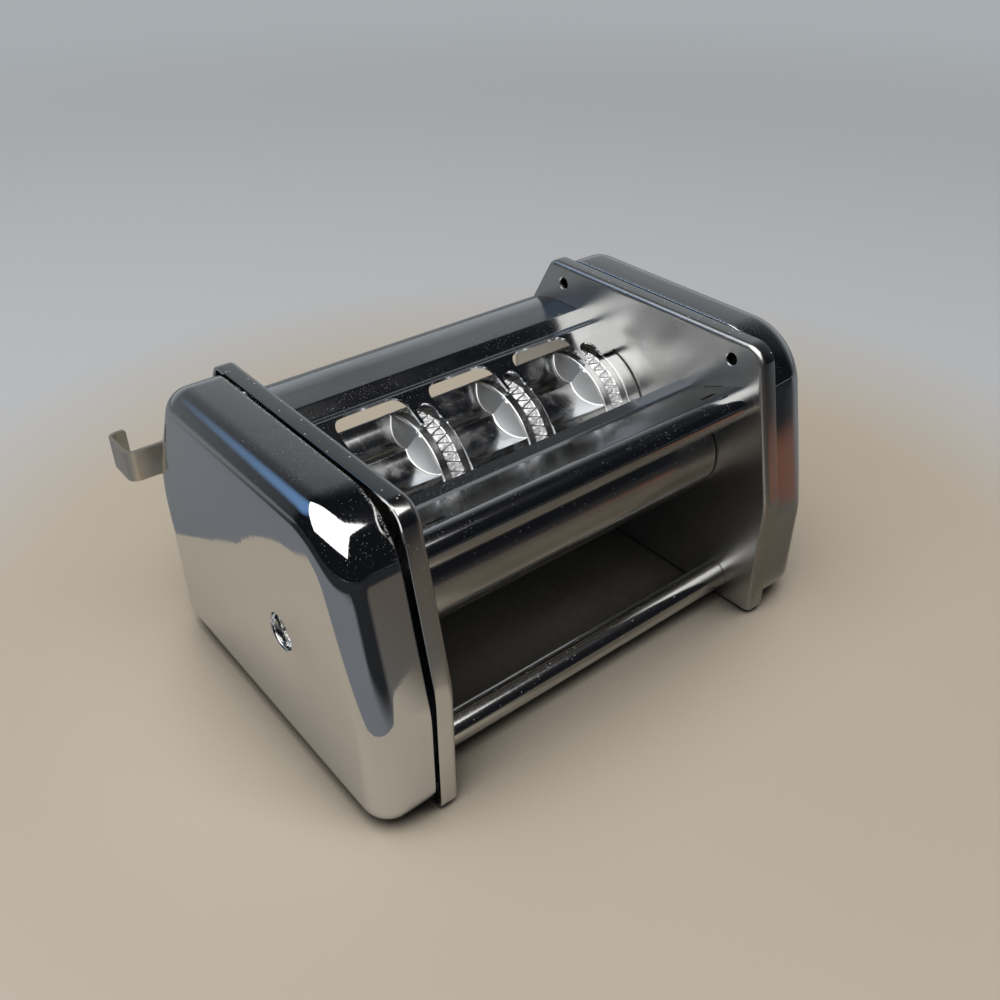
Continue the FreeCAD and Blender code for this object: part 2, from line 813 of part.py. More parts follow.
def involute_gear(teeth, bore_r, y, middle_deg):
    """Spur gear at the right-hand end of a roller; a tooth's middle points at middle_deg."""
    pitch_r = module * teeth / 2
    base_r = pitch_r * math.cos(math.radians(pressure_deg))
    tip_r = pitch_r + module
    root_r = pitch_r - module * (1 + root_clearance)
    low_r = max(base_r, root_r) * flank_start
    start = math.tan(math.radians(pressure_deg)) - math.radians(pressure_deg)
    half_pitch = math.pi / (2 * teeth) - gear_backlash / (4 * pitch_r)

    def flank(radius, side):
        share = math.acos(min(1.0, base_r / radius))
        lean = half_pitch + start - (math.tan(share) - share)
        return radius, side * lean

    def place(radius, angle):
        return at(gear_in, y + radius * math.cos(angle), axis_h + radius * math.sin(angle))

    edges = []
    step = 2 * math.pi / teeth
    rise = (tip_r - low_r) / (flank_points - 1)
    radii = [low_r + rise * index for index in range(flank_points)]
    for index in range(teeth):
        middle = math.radians(middle_deg) + index * step
        rising = [place(r, middle + flank(r, -1)[1]) for r in radii]
        falling = [place(r, middle + flank(r, 1)[1]) for r in reversed(radii)]
        foot = place(root_r, middle + flank(low_r, -1)[1])
        heel = place(root_r, middle + flank(low_r, 1)[1])
        ahead = place(root_r, middle + step + flank(low_r, -1)[1])
        for points in (rising, falling):
            curve = Part.BSplineCurve()
            curve.interpolate(points)
            edges.append(curve.toShape())
        edges.insert(-1, Part.Arc(rising[-1], place(tip_r, middle), falling[0]).toShape())
        edges.insert(-3, Part.LineSegment(foot, rising[0]).toShape())
        edges.append(Part.LineSegment(falling[-1], heel).toShape())
        edges.append(Part.Arc(heel, place(root_r, middle + step / 2), ahead).toShape())
    blank = prism(Part.Face(Part.Wire(Part.__sortEdges__(edges))), gear_w)
    return blank.cut(rod(bore_r, gear_in - past, gear_out + past, y, axis_h))


def drive_socket():
    """Hub on the die shaft's end with a slotted blind bore for the crank."""
    end = cover_out - socket_inset
    body = rod(socket_r, gear_out, end, die_axis_y, axis_h)
    body = body.makeChamfer(socket_chamfer, edges_at(body, end))
    body = body.cut(rod(socket_bore_r, end - socket_bore_len, end + past, die_axis_y, axis_h))
    half = socket_bore_r + socket_slot_past
    slot = box(end - socket_slot_depth, end + past, die_axis_y - half, die_axis_y + half,
               axis_h - socket_slot_w / 2, axis_h + socket_slot_w / 2)
    return body.cut(slot)


def die_shaft():
    """Shaft of the die roller, from the left-hand retaining ring to the drive socket."""
    reach = flange_out + side_play + ring_t + shaft_proud
    return rod(die_shaft_r, -reach, gear_out, die_axis_y, axis_h)


def press_shaft():
    """Shaft of the smooth roller, through both bushes."""
    left = flange_out + side_play + ring_t + shaft_proud
    right = gear_out + ring_t + shaft_proud
    return rod(press_shaft_r, -left, right, press_axis_y, axis_h)


def ring_on(shaft_r, x0, y):
    """Retaining ring round a shaft."""
    body = rod(shaft_r + ring_step, x0, x0 + ring_t, y, axis_h)
    return body.cut(rod(shaft_r, x0 - past, x0 + ring_t + past, y, axis_h))


def build():
    """Every node by name, still counted from the plates' front foot."""
    right = side_plate()
    nodes = {}
    nodes["right_side_plate"] = with_pillar_hole(right, right_pillar_y, right_pillar_h)
    nodes["left_side_plate"] = mirrored(with_pillar_hole(right, left_pillar_y, left_pillar_h))
    right_cover = cover(right_pillar_y, right_pillar_h)
    opening = rod(socket_r + socket_hole_gap, cover_out - cover_t - past, cover_out + past,
                  die_axis_y, axis_h)
    nodes["right_cover"] = right_cover.cut(opening)
    nodes["left_cover"] = mirrored(cover(left_pillar_y, left_pillar_h))
    nodes["right_cover_screw"] = cover_screw(right_pillar_y, right_pillar_h)
    nodes["left_cover_screw"] = mirrored(cover_screw(left_pillar_y, left_pillar_h))
    nodes["right_cover_pillar"] = cover_pillar(right_pillar_y, right_pillar_h)
    nodes["left_cover_pillar"] = mirrored(cover_pillar(left_pillar_y, left_pillar_h))
    nodes["front_tie_rod"] = tie_rod(front_rod_y, front_rod_h)
    nodes["back_tie_rod"] = tie_rod(back_rod_y, back_rod_h)
    nodes["tie_rod_nuts"] = Part.Compound([nut(side, y, z) for side in (-1, 1)
                                           for y, z in ((front_rod_y, front_rod_h),
                                                        (back_rod_y, back_rod_h))])
    nodes["back_guide"] = back_guide()
    nodes["front_guide"] = front_guide()
    nodes["right_hook"] = hook()
    nodes["left_hook"] = mirrored(hook())
    nodes["hook_rivets"] = hook_rivets()
    die_bush = bush(die_shaft_r, die_bush_r, die_axis_y)
    press_bush = bush(press_shaft_r, press_bush_r, press_axis_y)
    nodes["die_bush_right"] = die_bush
    nodes["die_bush_left"] = mirrored(die_bush)
    nodes["press_bush_right"] = press_bush
    nodes["press_bush_left"] = mirrored(press_bush)
    nodes["die_shaft"] = die_shaft()
    drum = die_drum()
    for name, place in (("left", -1), ("middle", 0), ("right", 1)):
        nodes["die_drum_" + name] = moved(drum, place * pitch_x)
    wheel = crimp_wheel()
    for index, x in enumerate(wheel_places()):
        nodes["crimp_wheel_%d" % (index + 1)] = moved(wheel, x)
    inner = wheel_places()[-1] + wheel_w / 2
    collar = turned_ring(die_r, die_shaft_r, inner, roller_end, seam_chamfer)
    nodes["die_collar_right"] = collar
    nodes["die_collar_left"] = mirrored(collar)
    nodes["die_gear"] = involute_gear(die_teeth, die_shaft_r, die_axis_y, 180.0)
    nodes["drive_socket"] = drive_socket()
    left_ring = -flange_out - side_play - ring_t
    nodes["die_retaining_ring"] = ring_on(die_shaft_r, left_ring, die_axis_y)
    nodes["press_roller"] = press_roller()
    nodes["press_shaft"] = press_shaft()
    nodes["press_gear"] = involute_gear(press_teeth, press_shaft_r, press_axis_y,
                                        180.0 / press_teeth)
    nodes["press_retaining_rings"] = Part.Compound([ring_on(press_shaft_r, left_ring, press_axis_y),
                                                    ring_on(press_shaft_r, gear_out, press_axis_y)])
    return nodes


def write(nodes):
    """Centre the model in Y and write one file for each node."""
    os.makedirs("parts", exist_ok=True)
    for name, shape in nodes.items():
        shape.translate(at(0, shift_y, 0))
        if not shape.isValid():
            raise ValueError(name + " is not a valid solid")
        shape.exportStep("parts/" + name + ".step")
        print("%-24s solids %2d volume %10.1f" % (name, len(shape.Solids), shape.Volume))


write(build())
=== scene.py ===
import json
import math

import bmesh
import bpy
import numpy as np
from bpy.props import FloatProperty, FloatVectorProperty, IntProperty, PointerProperty
from mathutils import Euler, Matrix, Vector, geometry


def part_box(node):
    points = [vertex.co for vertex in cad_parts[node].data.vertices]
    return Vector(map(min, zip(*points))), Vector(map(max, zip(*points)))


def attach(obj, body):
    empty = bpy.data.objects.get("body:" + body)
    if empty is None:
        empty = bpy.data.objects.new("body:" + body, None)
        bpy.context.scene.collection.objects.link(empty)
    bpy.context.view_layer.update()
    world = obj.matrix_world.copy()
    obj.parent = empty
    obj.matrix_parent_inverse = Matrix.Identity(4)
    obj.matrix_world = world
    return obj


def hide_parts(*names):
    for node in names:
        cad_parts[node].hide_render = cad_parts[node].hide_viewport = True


bl_info = {
    "name": "Ravioli former finish",
    "version": (1, 0, 0),
    "blender": (4, 5, 0),
    "location": "View3D > Sidebar > Ravioli",
    "description": "Chromed covers, satin plates, rollers, guides and hooks of a ravioli former",
    "category": "Object",
}

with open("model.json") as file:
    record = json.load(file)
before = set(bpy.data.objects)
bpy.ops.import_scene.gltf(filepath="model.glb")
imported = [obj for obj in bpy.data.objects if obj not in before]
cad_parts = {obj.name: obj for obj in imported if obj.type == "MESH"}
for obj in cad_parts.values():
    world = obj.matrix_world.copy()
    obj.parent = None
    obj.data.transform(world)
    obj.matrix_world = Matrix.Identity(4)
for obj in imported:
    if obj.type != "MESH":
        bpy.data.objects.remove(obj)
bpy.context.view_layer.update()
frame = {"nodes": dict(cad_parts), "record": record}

MM = 0.001


def node_box(name):
    """Lowest and highest corner of a CAD node in millimetres."""
    low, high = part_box(name)
    return np.array(low) / MM, np.array(high) / MM


def node_middle(name):
    """Middle (y, z) of a CAD node in millimetres."""
    low, high = node_box(name)
    return (low[1:] + high[1:]) / 2


# Places that come from the frame, in millimetres
PLATE_LOW, PLATE_HIGH = node_box("right_side_plate")
PRESS_LOW, PRESS_HIGH = node_box("press_roller")
DRUM_LOW, DRUM_HIGH = node_box("die_drum_middle")
WHEEL_LOW, WHEEL_HIGH = node_box("crimp_wheel_1")
COLLAR_LOW, COLLAR_HIGH = node_box("die_collar_right")
HOOK_LOW, HOOK_HIGH = node_box("right_hook")
SOCKET_LOW, SOCKET_HIGH = node_box("drive_socket")
SIDES = {-1: "left", 1: "right"}
PILLAR_AT = {side: node_middle(name + "_cover_pillar") for side, name in SIDES.items()}

FOOT_Y = PLATE_LOW[1]
PLATE_DEPTH = PLATE_HIGH[1] - PLATE_LOW[1]
PLATE_TOP = PLATE_HIGH[2]
WEB = PLATE_LOW[0]
RIM = PLATE_HIGH[0]
COVER_FACE = node_box("right_cover")[1][0]
PRESS_Y, AXIS_H = node_middle("press_roller")
PRESS_R = (PRESS_HIGH[2] - PRESS_LOW[2]) / 2
DIE_Y = node_middle("crimp_wheel_1")[0]
DIE_R = (WHEEL_HIGH[2] - WHEEL_LOW[2]) / 2
DRUM_W = DRUM_HIGH[0] - DRUM_LOW[0]
WHEEL_W = WHEEL_HIGH[0] - WHEEL_LOW[0]
PITCH_X = node_box("crimp_wheel_2")[0][0] - WHEEL_LOW[0]

# Sizes of the pressed parts that the boxes don't give, in millimetres
PLATE_T = 1.5
RIM_BEND_R = 2.0
FRONT_KINK_H = 53.0
BACK_KINK_H = 77.0
TOP_FRONT_SET = 13.8
TOP_BACK_SET = 23.0
# Corners of both outlines in order: front foot, front kink, front top, back top, back kink,
# back foot; the sides follow each corner in the same order
PLATE_RADII = (4.0, 40.0, 9.0, 5.0, 52.0, 12.0)
COVER_RADII = (12.4, 50.0, 26.0, 13.5, 62.0, 12.4)
COVER_INSET = np.array([0.9, 2.6, 0.2, 3.0, 2.6, 0.3])
COVER_T = 1.0
COVER_IN = RIM + 1.3
COVER_RIM_SOFT = 0.2
LUG_W = 16.0
LUG_IN = 1.7
LUG_REACH = 4.0
LUG_BACK_H = 36.7
HOPPER_HOLE_R = 2.5
HOPPER_HOLE_H = PLATE_TOP - 8.4
HOPPER_HOLES_Y = (TOP_FRONT_SET + 13.0, PLATE_DEPTH - TOP_BACK_SET - 8.9)
PILLAR_SHANK_R = 2.2
DIMPLE_R = 6.8
DIMPLE_FLOOR = COVER_FACE - 4.0
DIMPLE_LIP_R = 0.8
DIMPLE_ROOT_R = 1.0
SCREW_R = 2.0
SOCKET_HOLE_R = (SOCKET_HIGH[2] - SOCKET_LOW[2]) / 2 + 1.5
DIE_SHAFT_R = 6.0
PRESS_SHAFT_R = 4.0
DIE_BUSH_R = 9.0
PRESS_BUSH_R = 5.5
STUD_R = 3.0

# How finely edges and holes are cut
SOFT_EDGE = ((0.25, 0.0), (0.05, 0.2), (0.0, 0.6))
LEAST_RING_R = 0.4
HOLE_EDGE = 0.25
HOLE_FLARE = 0.3
PILLAR_FLARE = 0.04
COVER_FLAT_EDGE = 0.6
PLATE_FLAT_EDGE = 0.4
ROLLER_EDGE = 0.35

# Points along and round the turned pieces
DRUM_ROWS = 84
WHEEL_ROWS = 46
TOOTH_POINTS = 16
COLLAR_POINTS = 192
ROLLER_POINTS = 224
ROD_POINTS = 96
SCREW_POINTS = 120

# Pockets and zig-zag of the die roller
POCKETS = 4
POCKET_FIRST = math.radians(20.0)
POCKET_HALF = 17.0
CREST_R = 19.5
VALLEY_U = 8.7
VALLEY_R = 17.2
POCKET_SLOPE = 0.673
POCKET_LEAN = math.atan(0.39)
POCKET_FLOOR_SOFT = 0.25
POCKET_EDGE_SOFT = 0.12
TEETH = 42
ZIGZAG_W = 5.4
ZIGZAG_DEPTH = 2.0
ZIGZAG_RIDGE = 0.55
ZIGZAG_STEEPNESS = 2.6

# Sheet guides, as (y from the front foot, z) of their top surface
GUIDE_T = 1.2
BEND_R = 2.4
COMB = ((86.5, 91.0), (100.4, 97.9), (105.0, 96.4), (111.5, 99.8), (124.0, 99.8))
BACK_ROLL_R = 41.0
BACK_ROLL = math.radians(31.0)
SKIRT_Y = 150.6
SKIRT_FOOT_H = 75.0
SKIRT_BEND_R = 9.0
TONGUE_W = 10.7
SLOT_W = 7.7
COMB_SHIFT = 0.85
SLOT_LEN = 7.2
WINDOW_LEN = 13.6
WINDOW_R = 6.0
LIP = ((50.5, 90.3), (45.1, 89.7), (22.0, 99.0))
FRONT_ROLL_R = 6.0
FRONT_CURL = math.radians(152.0)
LIP_SLOT = (8.0, 2.4, 13.0)
TAB_W = 9.0
TAB_FIT = 0.15
TAB_PROUD = 2.0
TABLE_TAB_END = 123.0
SKIRT_TAB_H = 3.6

# Cover screws: share of the head that is domed, its power, and the cross-shaped recess
SCREW_DOME = 0.62
SCREW_DOME_POWER = 3.2
CROSS_HALF = 0.55
CROSS_SIDE = 0.22
CROSS_REACH = 2.6
CROSS_END = 0.8
CROSS_CORE_R = 1.35
CROSS_CORE_SIDE = 0.5
CROSS_DEPTH = 1.3

# Hooks
HOOK_T = 1.5
HOOK_BEND_R = 4.0
HOOK_DEPTH = 18.0
HOOK_TIP = 7.4
HOOK_LOW_H = 67.5
HOOK_HIGH_H = 80.3
HOOK_ROOT_W = 15.0
HOOK_ROOT_BLEND = 4.0

# The camera of the photograph, in the plates' own frame
CAMERA_AT = (-208.787, -187.347, 282.077)
CAMERA_PITCH = 34.4765
CAMERA_YAW = 38.8926
CAMERA_ROLL = -0.212
CAMERA_LENS = 36.69
CAMERA_SENSOR = 36.0

# Stage: middle of the warm patch of the floor in metres, and the way the camera looks over it
WARM_AT = (0.0145, -0.021, 0.0)
FLOOR_REACH = 4.0
CARD_HOLE = 0.06
CARD_LIFT = 0.0004
CARD_POINTS = 96
LAMP_AT = (-0.66, -0.38, 2.1)
LAMP_SIZE = (3.6, 2.7)
LAMP_AIM = (0.0, 0.0, 0.05)
GLOW_WAY = (-0.41, 0.64, 0.65)
HEADING = (math.sin(math.radians(CAMERA_YAW)), math.cos(math.radians(CAMERA_YAW)), 0.0)


def arc_points(centre, radius, start, sweep, count):
    """Points of an arc: centre plus radius times (cos, sin) of evenly spaced angles."""
    angle = start + sweep * np.linspace(0.0, 1.0, count)
    return np.array(centre) + radius * np.column_stack([np.cos(angle), np.sin(angle)])


def plate_corners(inset):
    """Sharp (y, z) corners of the side plate's outline, with every side moved in by inset."""
    corners = np.array([(0.0, 0.0), (0.0, FRONT_KINK_H), (TOP_FRONT_SET, PLATE_TOP),
                        (PLATE_DEPTH - TOP_BACK_SET, PLATE_TOP), (PLATE_DEPTH, BACK_KINK_H),
                        (PLATE_DEPTH, 0.0)])
    side = np.roll(corners, -1, axis=0) - corners
    side /= np.linalg.norm(side, axis=1)[:, None]
    normal = np.column_stack([side[:, 1], -side[:, 0]])
    reach = np.sum(normal * corners, axis=1) + inset
    before = np.roll(normal, 1, axis=0)
    before_reach = np.roll(reach, 1)
    det = before[:, 0] * normal[:, 1] - normal[:, 0] * before[:, 1]
    y = (before_reach * normal[:, 1] - reach * before[:, 1]) / det
    z = (before[:, 0] * reach - normal[:, 0] * before_reach) / det
    return np.column_stack([y + FOOT_Y, z])


def corner_round(corner, last, following, radius):
    """Middle, first angle and sweep of the arc that touches both sides of a corner.

    The middle lies on the sides' bisector, the radius over the sine of half the angle away."""
    before = last - corner
    after = following - corner
    before /= np.linalg.norm(before)
    after /= np.linalg.norm(after)
    half = math.acos(float(np.clip(before @ after, -1, 1))) / 2
    middle = (before + after) / np.linalg.norm(before + after)
    centre = corner + middle * radius / math.sin(half)
    entry = corner + before * radius / math.tan(half) - centre
    leave = corner + after * radius / math.tan(half) - centre
    start = math.atan2(entry[1], entry[0])
    sweep = (math.atan2(leave[1], leave[0]) - start + math.pi) % (2 * math.pi) - math.pi
    return centre, start, sweep


def rounded_corner(corner, last, following, radius, steps):
    """Points of the arc that rounds a corner."""
    centre, start, sweep = corner_round(corner, last, following, radius)
    return arc_points(centre, radius, start, sweep, steps)


def outline(inset, sides, radii, arc_steps=20, side_steps=10):
    """Rounded outline as a ring of (y, z) points: an arc at each corner, even steps between.

    Its sides lie inside the plate's by their own amounts plus the inset, and each corner's radius
    is less by the inset, so rings at two insets run parallel with their points side by side."""
    corners = plate_corners(sides + inset)
    count = len(corners)
    ends = []
    for index in range(count):
        radius = max(radii[index] - inset, LEAST_RING_R)
        ends.append(rounded_corner(corners[index], corners[index - 1],
                                   corners[(index + 1) % count], radius, arc_steps))
    ring = []
    share = np.linspace(0.0, 1.0, side_steps + 2)[1:-1, None]
    for index in range(count):
        ring += [ends[index], ends[index][-1] * (1 - share) + ends[(index + 1) % count][0] * share]
    return np.concatenate(ring)


def inside(points, loop):
    """Which points lie in a closed loop, by counting the loop's sides to their right."""
    a = loop
    b = np.roll(loop, -1, axis=0)
    px = points[:, None, 0]
    py = points[:, None, 1]
    spans = (a[:, 1] > py) != (b[:, 1] > py)
    rise = np.where(b[:, 1] == a[:, 1], 1e-12, b[:, 1] - a[:, 1])
    cross = px < a[:, 0] + (py - a[:, 1]) / rise * (b[:, 0] - a[:, 0])
    return np.sum(spans & cross, axis=1) % 2 == 1


def filled(loops, lines=()):
    """Triangles between an outer loop and its holes in a plane, with extra lines kept as edges."""
    points = np.concatenate([*loops, *lines])
    edges = []
    start = 0
    for loop in loops:
        count = len(loop)
        edges += [(start + i, start + (i + 1) % count) for i in range(count)]
        start += count
    for line in lines:
        edges += [(start + i, start + i + 1) for i in range(len(line) - 1)]
        start += len(line)
    made = geometry.delaunay_2d_cdt([Vector(p) for p in points], edges, [], 0, 1e-5, False)
    flat = np.array([tuple(v) for v in made[0]])
    faces = np.array(made[2])
    middle = flat[faces].mean(axis=1)
    keep = inside(middle, loops[0])
    for hole in loops[1:]:
        keep &= ~inside(middle, hole)
    return flat, faces[keep]


class Blank:
    """Points and faces of one piece, gathered as whole arrays in millimetres."""

    def __init__(self):
        self.points = []
        self.faces = []
        self.count = 0

    def add(self, points, faces, turned=False):
        """Adds points and the faces between them."""
        faces = np.asarray(faces) + self.count
        self.points.append(np.asarray(points, float))
        self.faces += (faces[:, ::-1] if turned else faces).tolist()
        self.count += len(points)

    def rings(self, rings, closed=False, turned=False):
        """Skin over rings of equal length: four-sided faces between each ring and the next."""
        rings = np.asarray(rings, float)
        rows, size = rings.shape[:2]
        row = np.arange(rows if closed else rows - 1)
        first = (row[:, None] * size + np.arange(size)).ravel()
        step = (row[:, None] * size + (np.arange(size) + 1) % size).ravel()
        ahead = (((row[:, None] + 1) % rows) * size + np.arange(size)).ravel()
        over = (((row[:, None] + 1) % rows) * size + (np.arange(size) + 1) % size).ravel()
        faces = np.column_stack([first, step, over, ahead])
        self.add(rings.reshape(-1, 3), faces, turned)

    def flat(self, x, loops, turned=False):
        """Flat face at x between (y, z) loops."""
        points, faces = filled(loops)
        self.add(np.column_stack([np.full(len(points), x), points]), faces, turned)

    def box(self, low, high):
        """Plain box between two corners."""
        corners = [(x, y, z) for z in (low[2], high[2]) for x, y in
                   ((low[0], low[1]), (high[0], low[1]), (high[0], high[1]), (low[0], high[1]))]
        sides = [(i, (i + 1) % 4, (i + 1) % 4 + 4, i + 4) for i in range(4)]
        self.add(corners, [(3, 2, 1, 0), (4, 5, 6, 7)] + sides)

    def piece(self, name, body, stands_for, finish, sharp=35.0):
        """The finished object: seams merged, faces outwards, smooth up to the sharp angle."""
        mesh = bpy.data.meshes.new(name)
        mesh.from_pydata((np.concatenate(self.points) * MM).tolist(), [], self.faces)
        work = bmesh.new()
        work.from_mesh(mesh)
        bmesh.ops.remove_doubles(work, verts=work.verts, dist=2e-6)
        bmesh.ops.recalc_face_normals(work, faces=work.faces)
        work.to_mesh(mesh)
        work.free()
        mesh.shade_smooth()
        mesh.set_sharp_from_angle(angle=math.radians(sharp))
        mesh.materials.append(finish)
        made = bpy.data.objects.new(name, mesh)
        bpy.context.scene.collection.objects.link(made)
        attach(made, body)
        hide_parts(*stands_for)
        return made


def on_plane(x, ring):
    """A (y, z) ring as points at one x."""
    return np.column_stack([np.full(len(ring), x), ring])


def mirror_x(blank, side):
    """Turns a right-hand blank into a left-hand one; the normals are set when it is finished."""
    if side < 0:
        blank.points = [points * np.array([-1.0, 1.0, 1.0]) for points in blank.points]
    return blank


def fillet(corner, first, second, radius, count=7):
    """Points of a round between two unit directions that leave a square corner."""
    first = np.array(first, float)
    second = np.array(second, float)
    centre = np.array(corner) + radius * (first + second)
    angle = np.linspace(0.0, math.pi / 2, count)[:, None]
    return centre - radius * (np.cos(angle) * second + np.sin(angle) * first)


def circle(y, z, radius, count=48):
    """Ring of (y, z) points round a middle."""
    return arc_points((y, z), radius, 0.0, 2 * math.pi, count + 1)[:-1]


def soft_edge(thickness, x, way):
    """Cut edge of a rim: (inset, x) points of its outer and inner side, softened towards x."""
    return ([(inset, x + way * step) for inset, step in SOFT_EDGE],
            [(thickness - inset, x + way * step) for inset, step in SOFT_EDGE])


def pan_skin(blank, outer, inner, sides, radii):
    """Skin of a pan: outer and inner profiles of (inset, x) carried round, joined at the rim."""

    def carried(profile):
        return [on_plane(x, outline(inset, sides, radii)) for inset, x in profile]

    blank.rings(carried(outer))
    blank.rings(carried(inner), turned=True)
    blank.rings(carried([inner[0], outer[0]]))


def cover_piece(side, dimple, holes, finish):
    """Deep-drawn cover: wall rings from the rim, a round of the face radius, then the face.

    The skin is a profile of (inset, x) pairs carried round the outline; the face is filled up to
    the dimple, whose rings go down to the screw hole."""
    face_r = bpy.context.scene.ravioli_covers.face_radius / MM
    flat_inset = face_r + COVER_FLAT_EDGE
    inner_x = COVER_FACE - COVER_T
    blank = Blank()
    outer, inner = soft_edge(COVER_T, COVER_IN, 1)
    outer.append((0.0, COVER_FACE - face_r - 1))
    outer += [tuple(p) for p in fillet((0, COVER_FACE), (0, -1), (1, 0), face_r, 16)]
    outer.append((flat_inset, COVER_FACE))
    inner.append((COVER_T, inner_x - face_r))
    inner += [(COVER_T + p[0], p[1])
              for p in fillet((0, inner_x), (0, -1), (1, 0), face_r - COVER_T, 9)]
    inner.append((flat_inset, inner_x))
    pan_skin(blank, outer, inner, COVER_INSET, COVER_RADII)
    y, z = dimple
    under_r = DIMPLE_R + COVER_T
    lip = fillet((DIMPLE_R, COVER_FACE), (0, -1), (1, 0), DIMPLE_LIP_R, 6)
    root = fillet((DIMPLE_R, DIMPLE_FLOOR), (-1, 0), (0, 1), DIMPLE_ROOT_R, 6)
    well = [*lip[::-1], *root[::-1], (SCREW_R + 0.5, DIMPLE_FLOOR),
            (SCREW_R + 0.3, DIMPLE_FLOOR - 0.2), (SCREW_R + 0.3, DIMPLE_FLOOR - COVER_T),
            (under_r, DIMPLE_FLOOR - COVER_T), (under_r, inner_x)]
    blank.rings([on_plane(x, circle(y, z, r)) for r, x in well])
    hole_loops = [circle(*hole) for hole in holes]
    face = outline(flat_inset, COVER_INSET, COVER_RADII)
    blank.flat(COVER_FACE, [face, circle(y, z, well[0][0])] + hole_loops)
    blank.flat(inner_x, [face, circle(y, z, under_r)] + hole_loops, turned=True)
    for loop in hole_loops:
        blank.rings([on_plane(COVER_FACE, loop), on_plane(inner_x, loop)])
    for low, high in cover_lugs():
        blank.box(low, high)
    mirror_x(blank, side)
    name = SIDES[side]
    return blank.piece(name + "_cover_shell", "frame", [name + "_cover"], finish)


def cover_lugs():
    """Lowest and highest corners of the lugs at the foot and the back: a tongue and its step."""
    across = FOOT_Y + PLATE_DEPTH / 2 + np.array([-LUG_W, LUG_W]) / 2
    up = LUG_BACK_H + np.array([-LUG_W, LUG_W]) / 2
    back = FOOT_Y + PLATE_DEPTH - LUG_IN
    wall, foot = COVER_INSET[4:]
    tip = RIM - LUG_REACH
    bend = RIM + COVER_RIM_SOFT
    top = LUG_IN + COVER_T
    back_wall = back + LUG_IN - wall - COVER_T
    return (((tip, across[0], LUG_IN), (bend, across[1], top)),
            ((bend, across[0], foot + 0.1), (COVER_IN + COVER_RIM_SOFT, across[1], top)),
            ((tip, back - COVER_T, up[0]), (bend, back, up[1])),
            ((bend, back_wall, up[0]), (COVER_IN, back, up[1])))


def box_loop(centre, along, length, width):
    """Corners of a (y, z) rectangle about a centre, its length along a unit direction."""
    along = np.array(along)
    across = np.array([-along[1], along[0]])
    signs = np.array([(-1, -1), (1, -1), (1, 1), (-1, 1)])
    return np.array(centre) + signs[:, :1] * along * length / 2 + signs[:, 1:] * across * width / 2


def tab_slots():
    """Slots of a web that the guides' tabs pass through."""
    spare = 2 * TAB_FIT
    table = ((TABLE_TAB_END - TAB_W / 2 + FOOT_Y, COMB[-1][1] - GUIDE_T / 2), (1.0, 0.0), TAB_W)
    skirt = ((SKIRT_Y - GUIDE_T / 2 + FOOT_Y, SKIRT_FOOT_H + SKIRT_TAB_H / 2), (0.0, 1.0),
             SKIRT_TAB_H)
    slope = np.array(LIP[2]) - np.array(LIP[1])
    slope /= np.linalg.norm(slope)
    middle = (np.array(LIP[1]) + np.array(LIP[2])) / 2
    middle += np.array([slope[1], -slope[0]]) * -GUIDE_T / 2 + np.array([FOOT_Y, 0.0])
    band = (middle, slope, TAB_W)
    return [box_loop(centre, along, length + spare, GUIDE_T + spare)
            for centre, along, length in (table, skirt, band)]


def plate_piece(side, holes, finish):
    """Side plate: a profile of (inset, x) pairs for rim and bend round the outline, web filled."""
    blank = Blank()
    web_back = WEB + PLATE_T
    flat_inset = RIM_BEND_R + PLATE_FLAT_EDGE
    outer, inner = soft_edge(PLATE_T, RIM, -1)
    outer.append((0.0, WEB + RIM_BEND_R + 0.3))
    outer += [tuple(p) for p in fillet((0, WEB), (0, 1), (1, 0), RIM_BEND_R, 8)]
    outer.append((flat_inset, WEB))
    inner += [tuple(p) for p in
              fillet((PLATE_T, web_back), (0, 1), (1, 0), RIM_BEND_R - PLATE_T, 4)]
    inner.append((flat_inset, web_back))
    pan_skin(blank, outer, inner, 0.0, PLATE_RADII)
    edge = outline(flat_inset, 0.0, PLATE_RADII)
    wide = [circle(y, z, r + (PILLAR_FLARE if r == PILLAR_SHANK_R else HOLE_FLARE))
            for y, z, r in holes]
    slots = tab_slots()
    blank.flat(WEB, [edge] + wide + slots)
    blank.flat(web_back, [edge] + wide + slots, turned=True)
    for loop in slots:
        blank.rings([on_plane(WEB, loop), on_plane(web_back, loop)])
    for large, hole in zip(wide, holes):
        small = circle(*hole)
        blank.rings([on_plane(WEB, large), on_plane(WEB + HOLE_EDGE, small),
                     on_plane(web_back - HOLE_EDGE, small), on_plane(web_back, large)])
    mirror_x(blank, side)
    name = SIDES[side]
    return blank.piece(name + "_plate_pan", "frame", [name + "_side_plate"], finish)


def turned_piece(name, profile, y, z, around, body, stands_for, finish):
    """Turned piece about a line along X: (x, radius) pairs carried round a circle."""
    blank = Blank()
    blank.rings([on_plane(x, circle(y, z, radius, around)) for x, radius in profile],
                closed=profile[0][1] > 0)
    return blank.piece(name, body, stands_for, finish)


def bar_profile(reach, radius, bore, edge):
    """Closed (x, radius) profile of a bored bar with rounded end edges."""
    round_edge = fillet((reach, radius), (-1, 0), (0, -1), edge, 6)
    half = [(reach - edge - 1.0, radius)] + [tuple(p) for p in round_edge]
    half += [(reach, radius - edge - 0.3), (reach, bore)]
    return [(-x, r) for x, r in reversed(half)] + half


